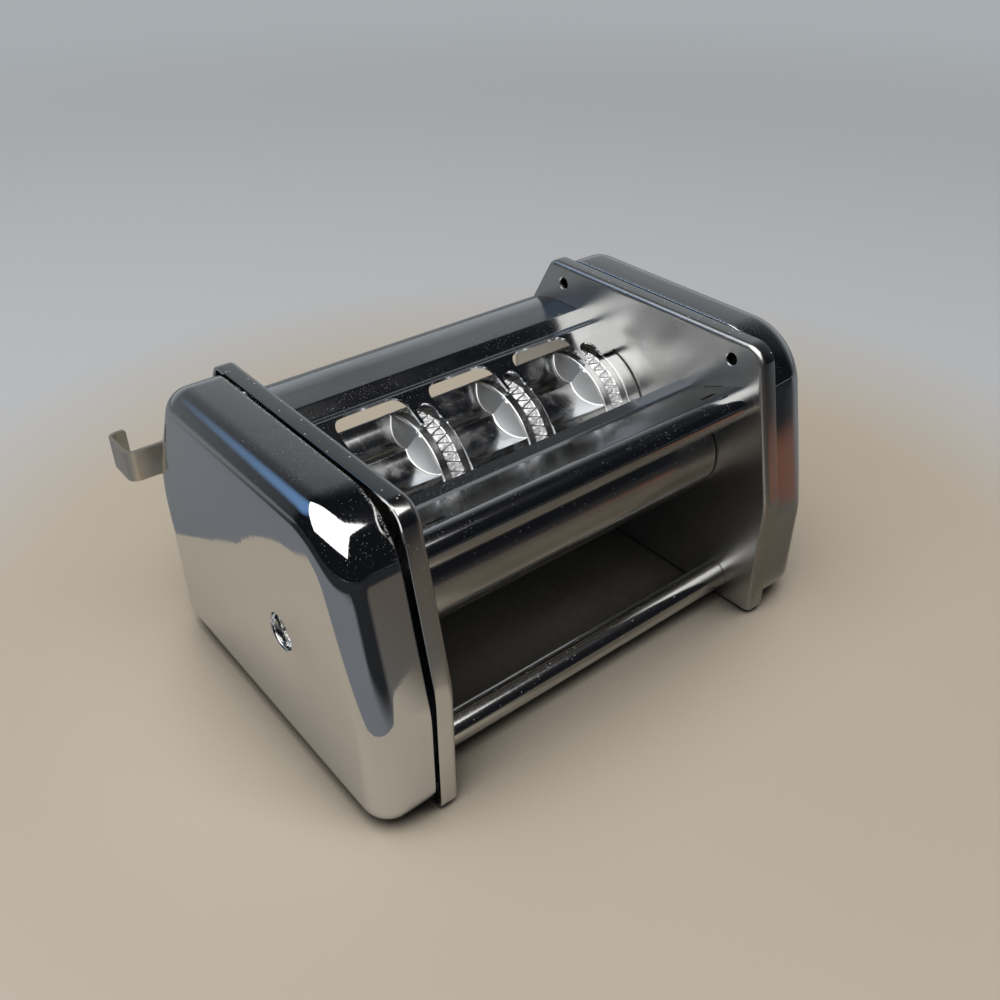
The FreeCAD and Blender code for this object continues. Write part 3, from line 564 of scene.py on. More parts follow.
def height_roller(name, x0, width, around, across, height, finish, stands_for):
    """Roller whose radius is a function of x and angle, closed at both ends down to the shaft."""
    xs = np.concatenate([[-width / 2], np.linspace(-width / 2 + ROLLER_EDGE,
                                                   width / 2 - ROLLER_EDGE, across), [width / 2]])
    angle = np.linspace(0.0, 2 * math.pi, around, endpoint=False)
    grid_x, grid_a = np.meshgrid(xs, angle, indexing="ij")
    radius = height(grid_x, grid_a)
    radius[[0, -1]] = np.minimum(radius[[0, -1]], DIE_R - ROLLER_EDGE)
    rings = np.stack([grid_x + x0, DIE_Y + radius * np.cos(grid_a),
                      AXIS_H + radius * np.sin(grid_a)], axis=2)
    bore = [on_plane(x0 + x, circle(DIE_Y, AXIS_H, DIE_SHAFT_R, around)) for x in xs[[0, -1]]]
    blank = Blank()
    blank.rings(np.concatenate([bore[:1], rings, bore[1:]]), closed=True)
    return blank.piece(name, "die_roller", stands_for, finish, 60.0)


def pocket_height(x, angle):
    """Radius of a drum: the rim, lowered to the higher of the floor and the side walls.

    The floor is two round troughs about a low crest. Each side wall is a pair of planes that start
    from the chord between a pocket's middle and its corner and lean inwards."""
    step = 2 * math.pi / POCKETS
    turn = (angle - POCKET_FIRST + step / 2) % step - step / 2
    edge_r = math.sqrt(DIE_R ** 2 - POCKET_HALF ** 2)
    top_r = edge_r + POCKET_HALF * math.tan(POCKET_LEAN)
    centre_u, centre_v, trough_r = circle_through((0.0, CREST_R), (VALLEY_U, VALLEY_R),
                                                  (POCKET_HALF, edge_r))
    side = np.abs(turn)
    sin = np.sin(side)
    cos = np.cos(side)
    along = centre_u * sin + centre_v * cos
    inner = along ** 2 - (centre_u ** 2 + centre_v ** 2 - trough_r ** 2)
    floor = along - np.sqrt(np.maximum(inner, 0.0))
    k_u = POCKET_SLOPE * math.sin(POCKET_LEAN)
    k_v = POCKET_SLOPE * math.cos(POCKET_LEAN)
    wall = (np.abs(x) - DRUM_W / 2 + top_r * k_v) / (k_u * sin + k_v * cos)
    pocket = blend_max(floor, wall, POCKET_FLOOR_SOFT)
    reach = math.atan2(POCKET_HALF, edge_r)
    pocket = np.where(side > reach, DIE_R, pocket)
    return blend_min(np.full_like(x, DIE_R), pocket, POCKET_EDGE_SOFT)


def circle_through(a, b, c):
    """Centre and radius of the circle through three points of a plane."""
    rows = np.array([[b[0] - a[0], b[1] - a[1]], [c[0] - a[0], c[1] - a[1]]]) * 2
    right = np.array([b[0] ** 2 + b[1] ** 2 - a[0] ** 2 - a[1] ** 2,
                      c[0] ** 2 + c[1] ** 2 - a[0] ** 2 - a[1] ** 2])
    u, v = np.linalg.solve(rows, right)
    return u, v, math.hypot(a[0] - u, a[1] - v)


def blend_max(a, b, soft):
    """The higher of two heights, with a soft change from one to the other."""
    return (a + b + np.sqrt((a - b) ** 2 + soft ** 2)) / 2


def blend_min(a, b, soft):
    """The lower of two heights, with a soft change, and never above the first."""
    return np.minimum(a, (a + b - np.sqrt((a - b) ** 2 + soft ** 2)) / 2 + soft / 2)


def zigzag_height(x, angle):
    """Radius of a wheel: two rows of triangular pits, half a tooth apart, leave a zig-zag ridge."""
    step = 2 * math.pi / TEETH
    height = np.full_like(x, DIE_R)
    for sign in (-1.0, 1.0):
        shift = 0.5 if sign > 0 else 0.0
        tooth = ((angle / step - shift + 0.5) % 1.0 - 0.5) * step * DIE_R
        base = sign * x
        half = DIE_R * step / 2 - ZIGZAG_RIDGE / 2
        width = half * (base + ZIGZAG_W / 2 - ZIGZAG_RIDGE) / (ZIGZAG_W - ZIGZAG_RIDGE)
        inset = np.minimum(width - np.abs(tooth), ZIGZAG_W / 2 - base)
        depth = np.clip(inset * ZIGZAG_STEEPNESS, 0.0, ZIGZAG_DEPTH)
        height = np.minimum(height, DIE_R - depth)
    return height


class Strip:
    """A sheet's line in its bending plane: straight runs joined by arcs, sampled by length."""

    def __init__(self, start):
        self.points = [np.array(start, float)]
        self.heading = []

    def run(self, point):
        """Straight run, with a point close to each end to hold the bends beside it."""
        start = self.points[-1]
        step = np.array(point, float) - start
        length = np.linalg.norm(step)
        shares = [0.3 / length, 1 - 0.3 / length, 1.0] if length > 1.0 else [1.0]
        heading = math.atan2(step[1], step[0])
        if not self.heading:
            self.heading.append(heading)
        for share in shares:
            self.points.append(start + step * share)
            self.heading.append(heading)

    def arc(self, centre, sweep, step=math.radians(5.0)):
        """Arc about a centre from the line's end, in steps of about the same angle."""
        centre = np.array(centre, float)
        spoke = self.points[-1] - centre
        radius = np.linalg.norm(spoke)
        start = math.atan2(spoke[1], spoke[0])
        count = max(2, int(math.ceil(abs(sweep) / step)))
        turn = math.copysign(math.pi / 2, sweep)
        for share in np.linspace(0.0, 1.0, count + 1)[1:]:
            angle = start + sweep * share
            self.points.append(centre + radius * np.array([math.cos(angle), math.sin(angle)]))
            self.heading.append(angle + turn)

    def bends(self, points, radii):
        """Runs through points with a tangent arc at each inner one."""
        points = np.array(points, float)
        for index, radius in enumerate(radii):
            last, corner, following = points[index:index + 3]
            centre, start, sweep = corner_round(corner, last, following, radius)
            self.run(centre + radius * np.array([math.cos(start), math.sin(start)]))
            self.arc(centre, sweep)
        self.run(points[-1])

    def sampled(self):
        """Length along the line, points and unit normals on the left of the line."""
        points = np.array(self.points)
        heading = np.unwrap(np.array(self.heading))
        length = np.concatenate([[0.0], np.cumsum(np.linalg.norm(np.diff(points, axis=0), axis=1))])
        normal = np.column_stack([-np.sin(heading), np.cos(heading)])
        return length, points, normal


def bent_sheet(name, strip, loops, thickness, place, stands_for, finish):
    """Cuts a blank from loops of (across, along) points and bends it along a strip.

    Each point keeps its distance across; its distance along is looked up on the strip's line.
    The second side is the same blank moved along the line's normal by the thickness."""
    length, points, normal = strip.sampled()
    low, high = loops[0].min(axis=0), loops[0].max(axis=0)
    inner = length[(length > low[1] + 0.05) & (length < high[1] - 0.05)]
    flat, faces = filled(loops, [np.array([(low[0], s), (high[0], s)]) for s in inner])
    line_y, line_z, norm_y, norm_z = (
        np.interp(flat[:, 1], length, row) for row in (*points.T, *normal.T))
    reach = thickness / np.hypot(norm_y, norm_z)
    front = place(flat[:, 0], line_y, line_z)
    back = place(flat[:, 0], line_y + norm_y * reach, line_z + norm_z * reach)
    count = len(flat)
    sides = np.concatenate([faces[:, [0, 1]], faces[:, [1, 2]], faces[:, [2, 0]]])
    _, first, times = np.unique(np.sort(sides, axis=1), axis=0, return_index=True,
                                return_counts=True)
    rim = sides[first[times == 1]]
    walls = np.column_stack([rim[:, 0], rim[:, 1], rim[:, 1] + count, rim[:, 0] + count])
    blank = Blank()
    blank.add(np.concatenate([front, back]), faces)
    blank.faces += (faces[:, ::-1] + count).tolist() + walls.tolist()
    return blank.piece(name, "frame", stands_for, finish, 30.0)


def rounded_loop(corners, radii, steps=8):
    """Closed loop through plane corners, each rounded with its own radius (0 keeps it sharp)."""
    corners = np.array(corners, float)
    after = np.roll(corners, -1, axis=0)
    loop = []
    for index, radius in enumerate(radii):
        if radius > 0:
            loop.append(rounded_corner(corners[index], corners[index - 1], after[index], radius,
                                       steps))
        else:
            loop.append(corners[index][None])
    return np.concatenate(loop)


def along_x(a, y, z):
    """A guide's blank: across runs along X, the strip lies in Y and Z."""
    return np.column_stack([a, y + FOOT_Y, z])


def back_strip():
    """Line of the back guide's top, from the comb's tips over the roll to the skirt's foot."""
    strip = Strip(COMB[0])
    strip.bends(COMB, [BEND_R] * 3)
    end_y, end_h = COMB[-1]
    strip.arc((end_y, end_h - BACK_ROLL_R), -BACK_ROLL)
    roll_y = end_y + BACK_ROLL_R * math.sin(BACK_ROLL)
    roll_h = end_h - BACK_ROLL_R * (1 - math.cos(BACK_ROLL))
    corner_h = roll_h - (SKIRT_Y - roll_y) * math.tan(BACK_ROLL)
    strip.bends([(roll_y, roll_h), (SKIRT_Y, corner_h), (SKIRT_Y, SKIRT_FOOT_H)], [SKIRT_BEND_R])
    return strip


def front_strip():
    """Line of the front guide's top, from the lip to the end of the rolled front edge."""
    strip = Strip(LIP[0])
    strip.bends(LIP, [BEND_R])
    rise = math.atan2(LIP[2][1] - LIP[1][1], LIP[1][0] - LIP[2][0])
    start = math.pi / 2 - rise
    centre = (LIP[2][0] - FRONT_ROLL_R * math.cos(start),
              LIP[2][1] - FRONT_ROLL_R * math.sin(start))
    strip.arc(centre, FRONT_CURL)
    return strip


def back_guide_piece(finish):
    """Back guide: a rectangle with the comb's windows and slots cut in its front edge."""
    strip = back_strip()
    total = strip.sampled()[0][-1]
    rise = math.atan2(COMB[1][1] - COMB[0][1], COMB[1][0] - COMB[0][0])
    window = WINDOW_LEN / math.cos(rise)
    slot = SLOT_LEN / math.cos(rise)
    corners = [(-WEB, 0.0)]
    radii = [0.0]
    for index in range(4):
        centre = PITCH_X * (index - 1.5) + COMB_SHIFT
        if index > 0:
            corners += [(centre - TONGUE_W / 2, window), (centre - TONGUE_W / 2, 0.0)]
            radii += [WINDOW_R, 0.8]
        corners += [(centre - SLOT_W / 2, 0.0), (centre - SLOT_W / 2, slot),
                    (centre + SLOT_W / 2, slot), (centre + SLOT_W / 2, 0.0)]
        radii += [0.4, SLOT_W / 2 - 0.1, SLOT_W / 2 - 0.1, 0.4]
        if index < 3:
            corners += [(centre + TONGUE_W / 2, 0.0), (centre + TONGUE_W / 2, window)]
            radii += [0.8, WINDOW_R]
    length, points, _ = strip.sampled()
    table = np.interp([TABLE_TAB_END - TAB_W, TABLE_TAB_END], points[:, 0], length)
    reach = WEB + TAB_PROUD
    right = [(WEB, 0.0), (WEB, table[0]), (reach, table[0]), (reach, table[1]), (WEB, table[1]),
             (WEB, total - SKIRT_TAB_H), (reach, total - SKIRT_TAB_H), (reach, total)]
    corners = corners[1:] + right + [(-x, along) for x, along in reversed(right)]
    radii = radii[1:] + [0.0] * 2 * len(right)
    loop = rounded_loop(corners, radii)
    return bent_sheet("back_guide_sheet", strip, [loop], -GUIDE_T, along_x,
                      ["back_guide"], finish)


def front_guide_piece(finish):
    """Front guide: a rectangle with two small slots near its ends."""
    strip = front_strip()
    total = strip.sampled()[0][-1]
    length, points, _ = strip.sampled()
    middle = np.interp(-(LIP[1][0] + LIP[2][0]) / 2, -points[:, 0], length)
    reach = WEB + TAB_PROUD
    right = [(WEB, 0.0), (WEB, middle - TAB_W / 2), (reach, middle - TAB_W / 2),
             (reach, middle + TAB_W / 2), (WEB, middle + TAB_W / 2), (WEB, total)]
    outer = np.array(right + [(-x, along) for x, along in reversed(right)])
    long, wide, inset = LIP_SLOT
    at_length = math.dist(LIP[0], LIP[1]) + math.dist(LIP[1], LIP[2]) - 5.0
    loops = [outer]
    for side in (-1, 1):
        middle = side * (WEB - inset)
        loops.append(rounded_loop([(middle - long / 2, at_length), (middle + long / 2, at_length),
                                   (middle + long / 2, at_length + wide),
                                   (middle - long / 2, at_length + wide)], [wide / 2 - 0.02] * 4))
    return bent_sheet("front_guide_sheet", strip, loops, GUIDE_T, along_x,
                      ["front_guide"], finish)


def hook_piece(side, finish):
    """Hook: a strip with a tall root, bent twice in plan; across runs up, along runs outwards."""
    root = WEB + 1.0
    reach = HOOK_HIGH[0]
    back = PLATE_DEPTH + HOOK_DEPTH + HOOK_T
    strip = Strip((root, PLATE_DEPTH))
    strip.bends([(root, PLATE_DEPTH), (reach, PLATE_DEPTH), (reach, back),
                 (reach - HOOK_TIP, back)], [HOOK_BEND_R] * 2)
    total = strip.sampled()[0][-1]
    arm = RIM + HOOK_ROOT_W - root
    rim = RIM - 0.5 - root
    corners = [(HOOK_LOW[2], 0.0), (HOOK_LOW[2], rim), (HOOK_LOW_H, arm), (HOOK_LOW_H, total),
               (HOOK_HIGH_H, total), (HOOK_HIGH_H, arm), (HOOK_HIGH[2], arm - 3.0),
               (HOOK_HIGH[2], 0.0)]
    loop = rounded_loop(corners, [2.0, 3.0, 12.0, 1.2, 1.2, HOOK_ROOT_BLEND, 2.5, 2.0])
    name = SIDES[side]

    def place(a, x, y):
        return np.column_stack([side * x, y + FOOT_Y, a])

    return bent_sheet(name + "_hook_strip", strip, [loop], HOOK_T, place,
                      [name + "_hook"], finish)


def screw_piece(side, finish):
    """Cover screw: a domed disc whose height drops in a cross-shaped recess, on a plain shank."""
    name = SIDES[side] + "_cover_screw"
    low, high = node_box(name)
    y, z = node_middle(name)
    head_r = (high[2] - low[2]) / 2
    tip, top = sorted((abs(low[0]), abs(high[0])))
    radii = np.concatenate([[0.0], np.linspace(0.12, head_r - 0.05, 34), [head_r]])
    angle = np.linspace(0.0, 2 * math.pi, SCREW_POINTS, endpoint=False)
    grid_r, grid_a = np.meshgrid(radii, angle, indexing="ij")
    spin = grid_a - bpy.context.scene.ravioli_covers.recess_turn
    u = np.abs(grid_r * np.cos(spin))
    v = np.abs(grid_r * np.sin(spin))
    dome = top - SCREW_DOME * (top - DIMPLE_FLOOR) * (grid_r / head_r) ** SCREW_DOME_POWER
    cross = np.clip((CROSS_HALF - np.minimum(u, v)) / CROSS_SIDE, 0, 1)
    cross *= np.clip((CROSS_REACH - np.maximum(u, v)) / CROSS_END, 0, 1)
    core = np.clip((CROSS_CORE_R - grid_r) / CROSS_CORE_SIDE, 0, 1)
    x = dome - CROSS_DEPTH * np.maximum(cross, core)
    rings = np.stack([x, y + grid_r * np.cos(grid_a), z + grid_r * np.sin(grid_a)], axis=2)
    shank = [on_plane(x, circle(y, z, radius, SCREW_POINTS)) for x, radius in
             ((DIMPLE_FLOOR, head_r), (DIMPLE_FLOOR, SCREW_R), (tip, SCREW_R), (tip, 0.0))]
    blank = Blank()
    blank.rings(np.concatenate([rings, shank]))
    mirror_x(blank, side)
    return blank.piece(name + "_head", "frame", [name], finish, 40.0)


class Value:
    """A number socket that builds Math nodes when it is used in an expression."""

    def __init__(self, shader, socket):
        self.shader = shader
        self.socket = socket

    def __add__(self, other):
        return self.shader.math("ADD", self, other)

    def __sub__(self, other):
        return self.shader.math("SUBTRACT", self, other)

    def __rsub__(self, other):
        return self.shader.math("SUBTRACT", other, self)

    def __mul__(self, other):
        return self.shader.math("MULTIPLY", self, other)

    def __truediv__(self, other):
        return self.shader.math("DIVIDE", self, other)

    __radd__ = __add__
    __rmul__ = __mul__

    def clamped(self):
        return self.shader.node("ShaderNodeClamp", {}, {"Value": self}).value("Result")

    def band(self, low, high):
        """0 below low, 1 above high, smooth between."""
        return self.shader.node("ShaderNodeMapRange", {"interpolation_type": "SMOOTHSTEP"},
                                {"Value": self, "From Min": low, "From Max": high}).value("Result")


class Made:
    """A node that was just made, with short ways to its outputs."""

    def __init__(self, shader, node):
        self.shader = shader
        self.node = node

    def out(self, name):
        """An output socket."""
        return self.node.outputs[name]

    def value(self, name):
        """An output as a number for expressions."""
        return Value(self.shader, self.node.outputs[name])


class Shader:
    """Nodes of one tree, made from expressions."""

    def __init__(self, tree):
        self.tree = tree
        self.tree.nodes.clear()

    def feed(self, socket, value):
        """Links a socket, or sets its plain value."""
        if isinstance(value, Value):
            self.tree.links.new(value.socket, socket)
        elif isinstance(value, bpy.types.NodeSocket):
            self.tree.links.new(value, socket)
        else:
            socket.default_value = value

    def node(self, kind, settings=None, inputs=None):
        """Makes a node, sets its settings first and then its sockets' values or links."""
        node = self.tree.nodes.new(kind)
        for key, setting in (settings or {}).items():
            setattr(node, key, setting)
        for key, value in (inputs or {}).items():
            self.feed(node.inputs[key], value)
        return Made(self, node)

    def math(self, operation, a, b):
        """One Math node of two values."""
        return self.node("ShaderNodeMath", {"operation": operation}, {0: a, 1: b}).value("Value")

    def joined(self, factor, a, b):
        """Two shaders mixed by a factor."""
        made = self.node("ShaderNodeMixShader", {}, {0: factor, 1: a, 2: b})
        return made.out("Shader")


class Finish(Shader):
    """A material with one Principled shader."""

    def __init__(self, name):
        self.material = bpy.data.materials.new(name)
        self.material.use_nodes = True
        super().__init__(self.material.node_tree)
        self.surface = self.tree.nodes.new("ShaderNodeBsdfPrincipled")
        self.output = self.tree.nodes.new("ShaderNodeOutputMaterial")
        self.show(self.surface.outputs["BSDF"])
        self.place = self.node("ShaderNodeTexCoord").out("Object")

    def show(self, shader):
        """Makes a shader the one that the material ends in."""
        self.tree.links.new(shader, self.output.inputs["Surface"])

    def noise(self, scale, detail=3.0, rough=0.55, stretch=(1.0, 1.0, 1.0), warp=0.0):
        """Cloudy noise over the object's own coordinates, stretched for each axis."""
        place = self.node("ShaderNodeMapping", {}, {"Vector": self.place, "Scale": stretch})
        return self.node("ShaderNodeTexNoise", {}, {
            "Vector": place.out("Vector"), "Scale": scale, "Detail": detail,
            "Roughness": rough, "Distortion": warp}).value("Fac")

    def mix(self, factor, a, b):
        """Two colours mixed by a factor."""
        return self.node("ShaderNodeMix", {"data_type": "RGBA"}, {
            0: factor, 6: a, 7: b}).node.outputs[2]

    def specks(self, scale, size, share, seed=0.0):
        """Scattered round specks: cells whose random number is under the share, within a size."""
        moved = self.node("ShaderNodeMapping", {}, {"Vector": self.place,
                                                    "Location": (seed, seed * 0.7, seed * 1.3)})
        cell = self.node("ShaderNodeTexVoronoi", {"feature": "F1"}, {
            "Vector": moved.out("Vector"), "Scale": scale})
        chosen = self.node("ShaderNodeSeparateColor", {}, {"Color": cell.out("Color")})
        near = 1.0 - cell.value("Distance").band(size * 0.6, size)
        pick = 1.0 - chosen.value("Red").band(share - 0.01, share)
        return near * pick

    def lying(self, specks, rest):
        """Specks that lie on what faces up; only a small rest of them holds on elsewhere."""
        return specks * (rest + (1.0 - rest) * self.upward())

    def fine_dust(self, share, seed, rest, low, high):
        """Two sizes of fine dust, in clouds."""
        dust = (self.specks(2600.0, 0.32, share) + self.specks(1300.0, 0.22, 0.05, seed)).clamped()
        return self.lying(dust, rest) * self.noise(60.0, 3.0).band(low, high)

    def across(self):
        """Distance from the middle plane between the side plates."""
        x = self.node("ShaderNodeSeparateXYZ", {}, {"Vector": self.place}).value("X")
        return self.math("ABSOLUTE", x, 0.0)

    def sideways(self):
        """1 where the surface leans along the rollers, 0 where it stands square to them."""
        normal = self.node("ShaderNodeNewGeometry").out("Normal")
        lean = self.node("ShaderNodeSeparateXYZ", {}, {"Vector": normal}).value("X")
        return self.math("ABSOLUTE", lean, 0.0).band(0.2, 0.4)

    def upward(self):
        """1 where the surface faces up, 0 where it faces sideways or down."""
        normal = self.node("ShaderNodeNewGeometry").out("Normal")
        return self.node("ShaderNodeSeparateXYZ", {}, {"Vector": normal}).value("Z").band(0.1, 0.9)

    def bump(self, height, distance, strength=1.0, normal=None):
        """Normals tilted by a height, over those of an earlier bump."""
        inputs = {"Height": height, "Distance": distance, "Strength": strength}
        if normal is not None:
            inputs["Normal"] = normal
        return self.node("ShaderNodeBump", {}, inputs).out("Normal")

    def done(self, **sockets):
        """Feeds the Principled shader and gives the material."""
        names = {"base": "Base Color", "rough": "Roughness", "metal": "Metallic",
                 "normal": "Normal", "alpha": "Alpha"}
        for key, value in sockets.items():
            self.feed(self.surface.inputs[names[key]], value)
        return self.material


# Colours of what lies on the metal
FINE_DUST = (0.5, 0.5, 0.48, 1.0)
COARSE_DUST = (0.75, 0.75, 0.73, 1.0)
STAIN = (0.30, 0.21, 0.13, 1.0)
PIT = (0.2, 0.2, 0.2, 1.0)


def tint(colour, factor=1.0):
    """A colour made lighter or darker, with full alpha."""
    return (*(min(1.0, c * factor) for c in colour[:3]), 1.0)


def chrome_finish(props):
    """Mirror chrome: faint polish marks, a few stains, and dust that settles on what faces up."""
    f = Finish("mirror_chrome")
    wipe = f.noise(38.0, 4.0, 0.6, (1.0, 1.0, 0.35))
    haze = f.noise(9.0, 2.0, 0.5)
    dust = f.fine_dust(0.11, 3.1, 0.1, 0.42, 0.66)
    crack = 1.0 - f.across().band((COVER_IN + 0.3) * MM, (COVER_IN + 1.6) * MM)
    grime = crack * f.upward() * f.noise(1500.0, 4.0, 0.7).band(0.5, 0.62)
    dust = (dust + grime).clamped()
    stain = f.lying(f.specks(160.0, 0.3, 0.03, 5.7), 0.0) * f.noise(700.0, 2.0).band(0.35, 0.55)
    base = f.mix(haze.band(0.3, 0.75), tint(props.chrome), tint(props.chrome, 0.94))
    base = f.mix(stain * 0.55, base, STAIN)
    base = f.mix(dust * 0.8, base, FINE_DUST)
    rough = 0.045 + 0.045 * wipe.band(0.4, 0.75) + 0.5 * dust + 0.2 * stain
    metal = 1.0 - dust * 0.85
    wave = f.noise(14.0, 1.0, 0.4)
    fine = f.noise(1100.0, 2.0, 0.5, (1.0, 0.25, 1.0))
    normal = f.bump(wave, 0.0004, 0.35)
    normal = f.bump(fine + dust * 2.0, 0.00002, 0.25, normal)
    return f.done(base=base, rough=rough.clamped(), metal=metal.clamped(), normal=normal)


def plate_finish(props):
    """Satin plated sheet: soft grain, faint vertical wipe marks and a little dust."""
    f = Finish("satin_plate")
    grain = f.noise(2600.0, 2.0, 0.5, (1.0, 0.2, 1.0))
    cloud = f.noise(26.0, 4.0, 0.6)
    streak = f.noise(60.0, 3.0, 0.6, (1.0, 1.0, 0.12))
    dust = f.lying(f.specks(800.0, 0.3, 0.12), 0.2)
    base = f.mix(cloud.band(0.3, 0.8), tint(props.plate), tint(props.plate, 0.88))
    base = f.mix(dust * 0.6, base, COARSE_DUST)
    rim = f.across().band((WEB + 1.0) * MM, (WEB + 3.0) * MM)
    rough = 0.25 - 0.17 * rim + 0.07 * cloud + 0.05 * streak + 0.3 * dust
    normal = f.bump(grain, 0.00003, 0.22)
    return f.done(base=base, rough=rough.clamped(), metal=1.0 - dust * 0.7, normal=normal)


def guide_finish(props):
    """Polished sheet with rolling marks along the rollers, smears and dust."""
    f = Finish("polished_sheet")
    drawn = f.noise(240.0, 5.0, 0.7, (0.035, 1.0, 1.0))
    smear = f.noise(32.0, 4.0, 0.65, (0.4, 1.0, 1.0), 0.4)
    dust = f.fine_dust(0.1, 2.3, 0.15, 0.4, 0.65)
    base = f.mix(smear.band(0.35, 0.75), tint(props.guide), tint(props.guide, 0.82))
    base = f.mix(dust * 0.75, base, FINE_DUST)
    rough = 0.085 + 0.09 * smear.band(0.4, 0.8) + 0.06 * drawn + 0.45 * dust
    normal = f.bump(drawn, 0.00005, 0.3)
    return f.done(base=base, rough=rough.clamped(), metal=1.0 - dust * 0.85, normal=normal)


def rod_finish(name, colour, rough_low, lathe=1400.0, depth=0.00002):
    """Turned metal: fine rings round the axis and cloudy wear."""
    f = Finish(name)
    rings = f.noise(lathe, 2.0, 0.6, (1.0, 0.03, 0.03))
    cloud = f.noise(40.0, 4.0, 0.6)
    dust = f.lying(f.specks(1100.0, 0.28, 0.08), 0.2)
    base = f.mix(cloud.band(0.3, 0.8), tint(colour), tint(colour, 0.86))
    base = f.mix(dust * 0.6, base, COARSE_DUST)
    rough = rough_low + 0.08 * cloud + 0.07 * rings + 0.3 * dust
    normal = f.bump(rings, depth, 0.35)
    return f.done(base=base, rough=rough.clamped(), metal=1.0 - dust * 0.7, normal=normal)


def cast_finish(name, colour, rough_low, rough_high):
    """Cast metal: smooth shiny skin broken by rough patches, pits and flow marks.

    Walls that face along the rollers get a painted highlight.
    """
    f = Finish(name)
    patch = f.noise(75.0, 3.0, 0.6, (1.0, 1.0, 1.0), 0.3).band(0.45, 0.7)
    coarse = f.noise(1500.0, 3.0, 0.7)
    flow = f.noise(170.0, 3.0, 0.6, (1.0, 0.35, 0.35), 0.6)
    pits = f.specks(900.0, 0.3, 0.06, 1.9)
    wall = f.sideways()
    base = f.mix(patch * 0.5, tint(colour), tint(colour, 0.78))
    # Painted highlight: walls that face along the rollers are painted 1.9 times lighter, standing
    # in for their bright glints
    base = f.mix(wall, base, tint(colour, 1.9))
    base = f.mix(pits * 0.5, base, PIT)
    rough = rough_low + (rough_high - rough_low) * patch * (1.0 - wall) + 0.05 * flow + 0.2 * wall
    normal = f.bump(coarse * (0.1 + 0.6 * patch) - pits, 0.00008, 0.4)
    normal = f.bump(flow, 0.0003, 0.12, normal)
    return f.done(base=base, rough=rough.clamped(), metal=1.0, normal=normal)


def colour(name, description, default):
    """A colour that the user can change."""
    return FloatVectorProperty(name=name, description=description, subtype="COLOR", size=3,
                               default=default, min=0.0, max=1.0)


class RavioliCovers(bpy.types.PropertyGroup):
    """Sizes and colour of the covers."""

    face_radius: FloatProperty(
        name="Face radius", description="Round between a cover's wall and its face",
        default=0.010, min=0.002, max=0.011, unit="LENGTH")
    recess_turn: FloatProperty(
        name="Recess turn", description="Turn of the cross recess in a cover screw",
        default=0.5, subtype="ANGLE")
    chrome: colour("Chrome", "Colour of the mirror chrome", (0.62, 0.63, 0.64))


class RavioliPlates(bpy.types.PropertyGroup):
    """Colours of the side plates, guides and hooks."""

    plate: colour("Side plates", "Colour of the satin side plates", (0.60, 0.60, 0.59))
    guide: colour("Guides", "Colour of the polished guides", (0.58, 0.59, 0.60))
    hook: colour("Hooks", "Colour of the plated hooks", (0.72, 0.67, 0.58))


class RavioliRollers(bpy.types.PropertyGroup):
    """Fineness and colours of the rollers."""

    around: IntProperty(
        name="Points around", description="Points round a die drum", default=480, min=96, max=960)
    drum: colour("Drums", "Colour of the cast drums", (0.44, 0.45, 0.46))
    wheel: colour("Wheels", "Colour of the crimping wheels", (0.74, 0.75, 0.76))
    press: colour("Smooth roller", "Colour of the smooth roller", (0.60, 0.60, 0.59))


class RavioliStage(bpy.types.PropertyGroup):
    """Light and floor."""

    floor: colour("Floor", "Colour of the floor", (0.60, 0.53, 0.43))
    far_floor: colour("Far floor", "Colour of the floor further away", (0.62, 0.64, 0.67))
    wall: colour("Background", "Colour behind the object", (0.39, 0.415, 0.435))
    ambient: FloatProperty(
        name="Ambient", description="Strength of the light from all round", default=0.05, min=0.0)
    key: FloatProperty(name="Key light", description="Strength of the overhead light",
                       default=66.0, min=0.0, unit="POWER")


class RAVIOLI_OT_covers(bpy.types.Operator):
    """Chromed covers with their screws"""

    bl_idname = "ravioli.covers"
    bl_label = "Covers and screws"

    def execute(self, context):
        finish = chrome_finish(context.scene.ravioli_covers)
        screw = rod_finish("plated_screw", (0.60, 0.60, 0.58), 0.16)
        cover_piece(-1, PILLAR_AT[-1], [], finish)
        cover_piece(1, PILLAR_AT[1], [(DIE_Y, AXIS_H, SOCKET_HOLE_R)], finish)
        screw_piece(-1, screw)
        screw_piece(1, screw)
        return {"FINISHED"}


class RAVIOLI_OT_plates(bpy.types.Operator):
    """Side plates with their turned rims and hopper holes"""

    bl_idname = "ravioli.plates"
    bl_label = "Side plates"

    def execute(self, context):
        finish = plate_finish(context.scene.ravioli_plates)
        for side, pillar in PILLAR_AT.items():
            holes = [(FOOT_Y + y, HOPPER_HOLE_H, HOPPER_HOLE_R) for y in HOPPER_HOLES_Y]
            holes += [(DIE_Y, AXIS_H, DIE_BUSH_R), (PRESS_Y, AXIS_H, PRESS_BUSH_R),
                      (*pillar, PILLAR_SHANK_R)]
            holes += [(*node_middle(rod), STUD_R) for rod in ("front_tie_rod", "back_tie_rod")]
            plate_piece(side, holes, finish)
        return {"FINISHED"}


class RAVIOLI_OT_guides(bpy.types.Operator):
    """Sheet guides before and behind the throat"""

    bl_idname = "ravioli.guides"
    bl_label = "Guides"

    def execute(self, context):
        finish = guide_finish(context.scene.ravioli_plates)
        back_guide_piece(finish)
        front_guide_piece(finish)
        return {"FINISHED"}


class RAVIOLI_OT_hooks(bpy.types.Operator):
    """Hooks on the back rims"""

    bl_idname = "ravioli.hooks"
    bl_label = "Hooks"

    def execute(self, context):
        finish = rod_finish("plated_hook", context.scene.ravioli_plates.hook, 0.34)
        hook_piece(-1, finish)
        hook_piece(1, finish)
        return {"FINISHED"}


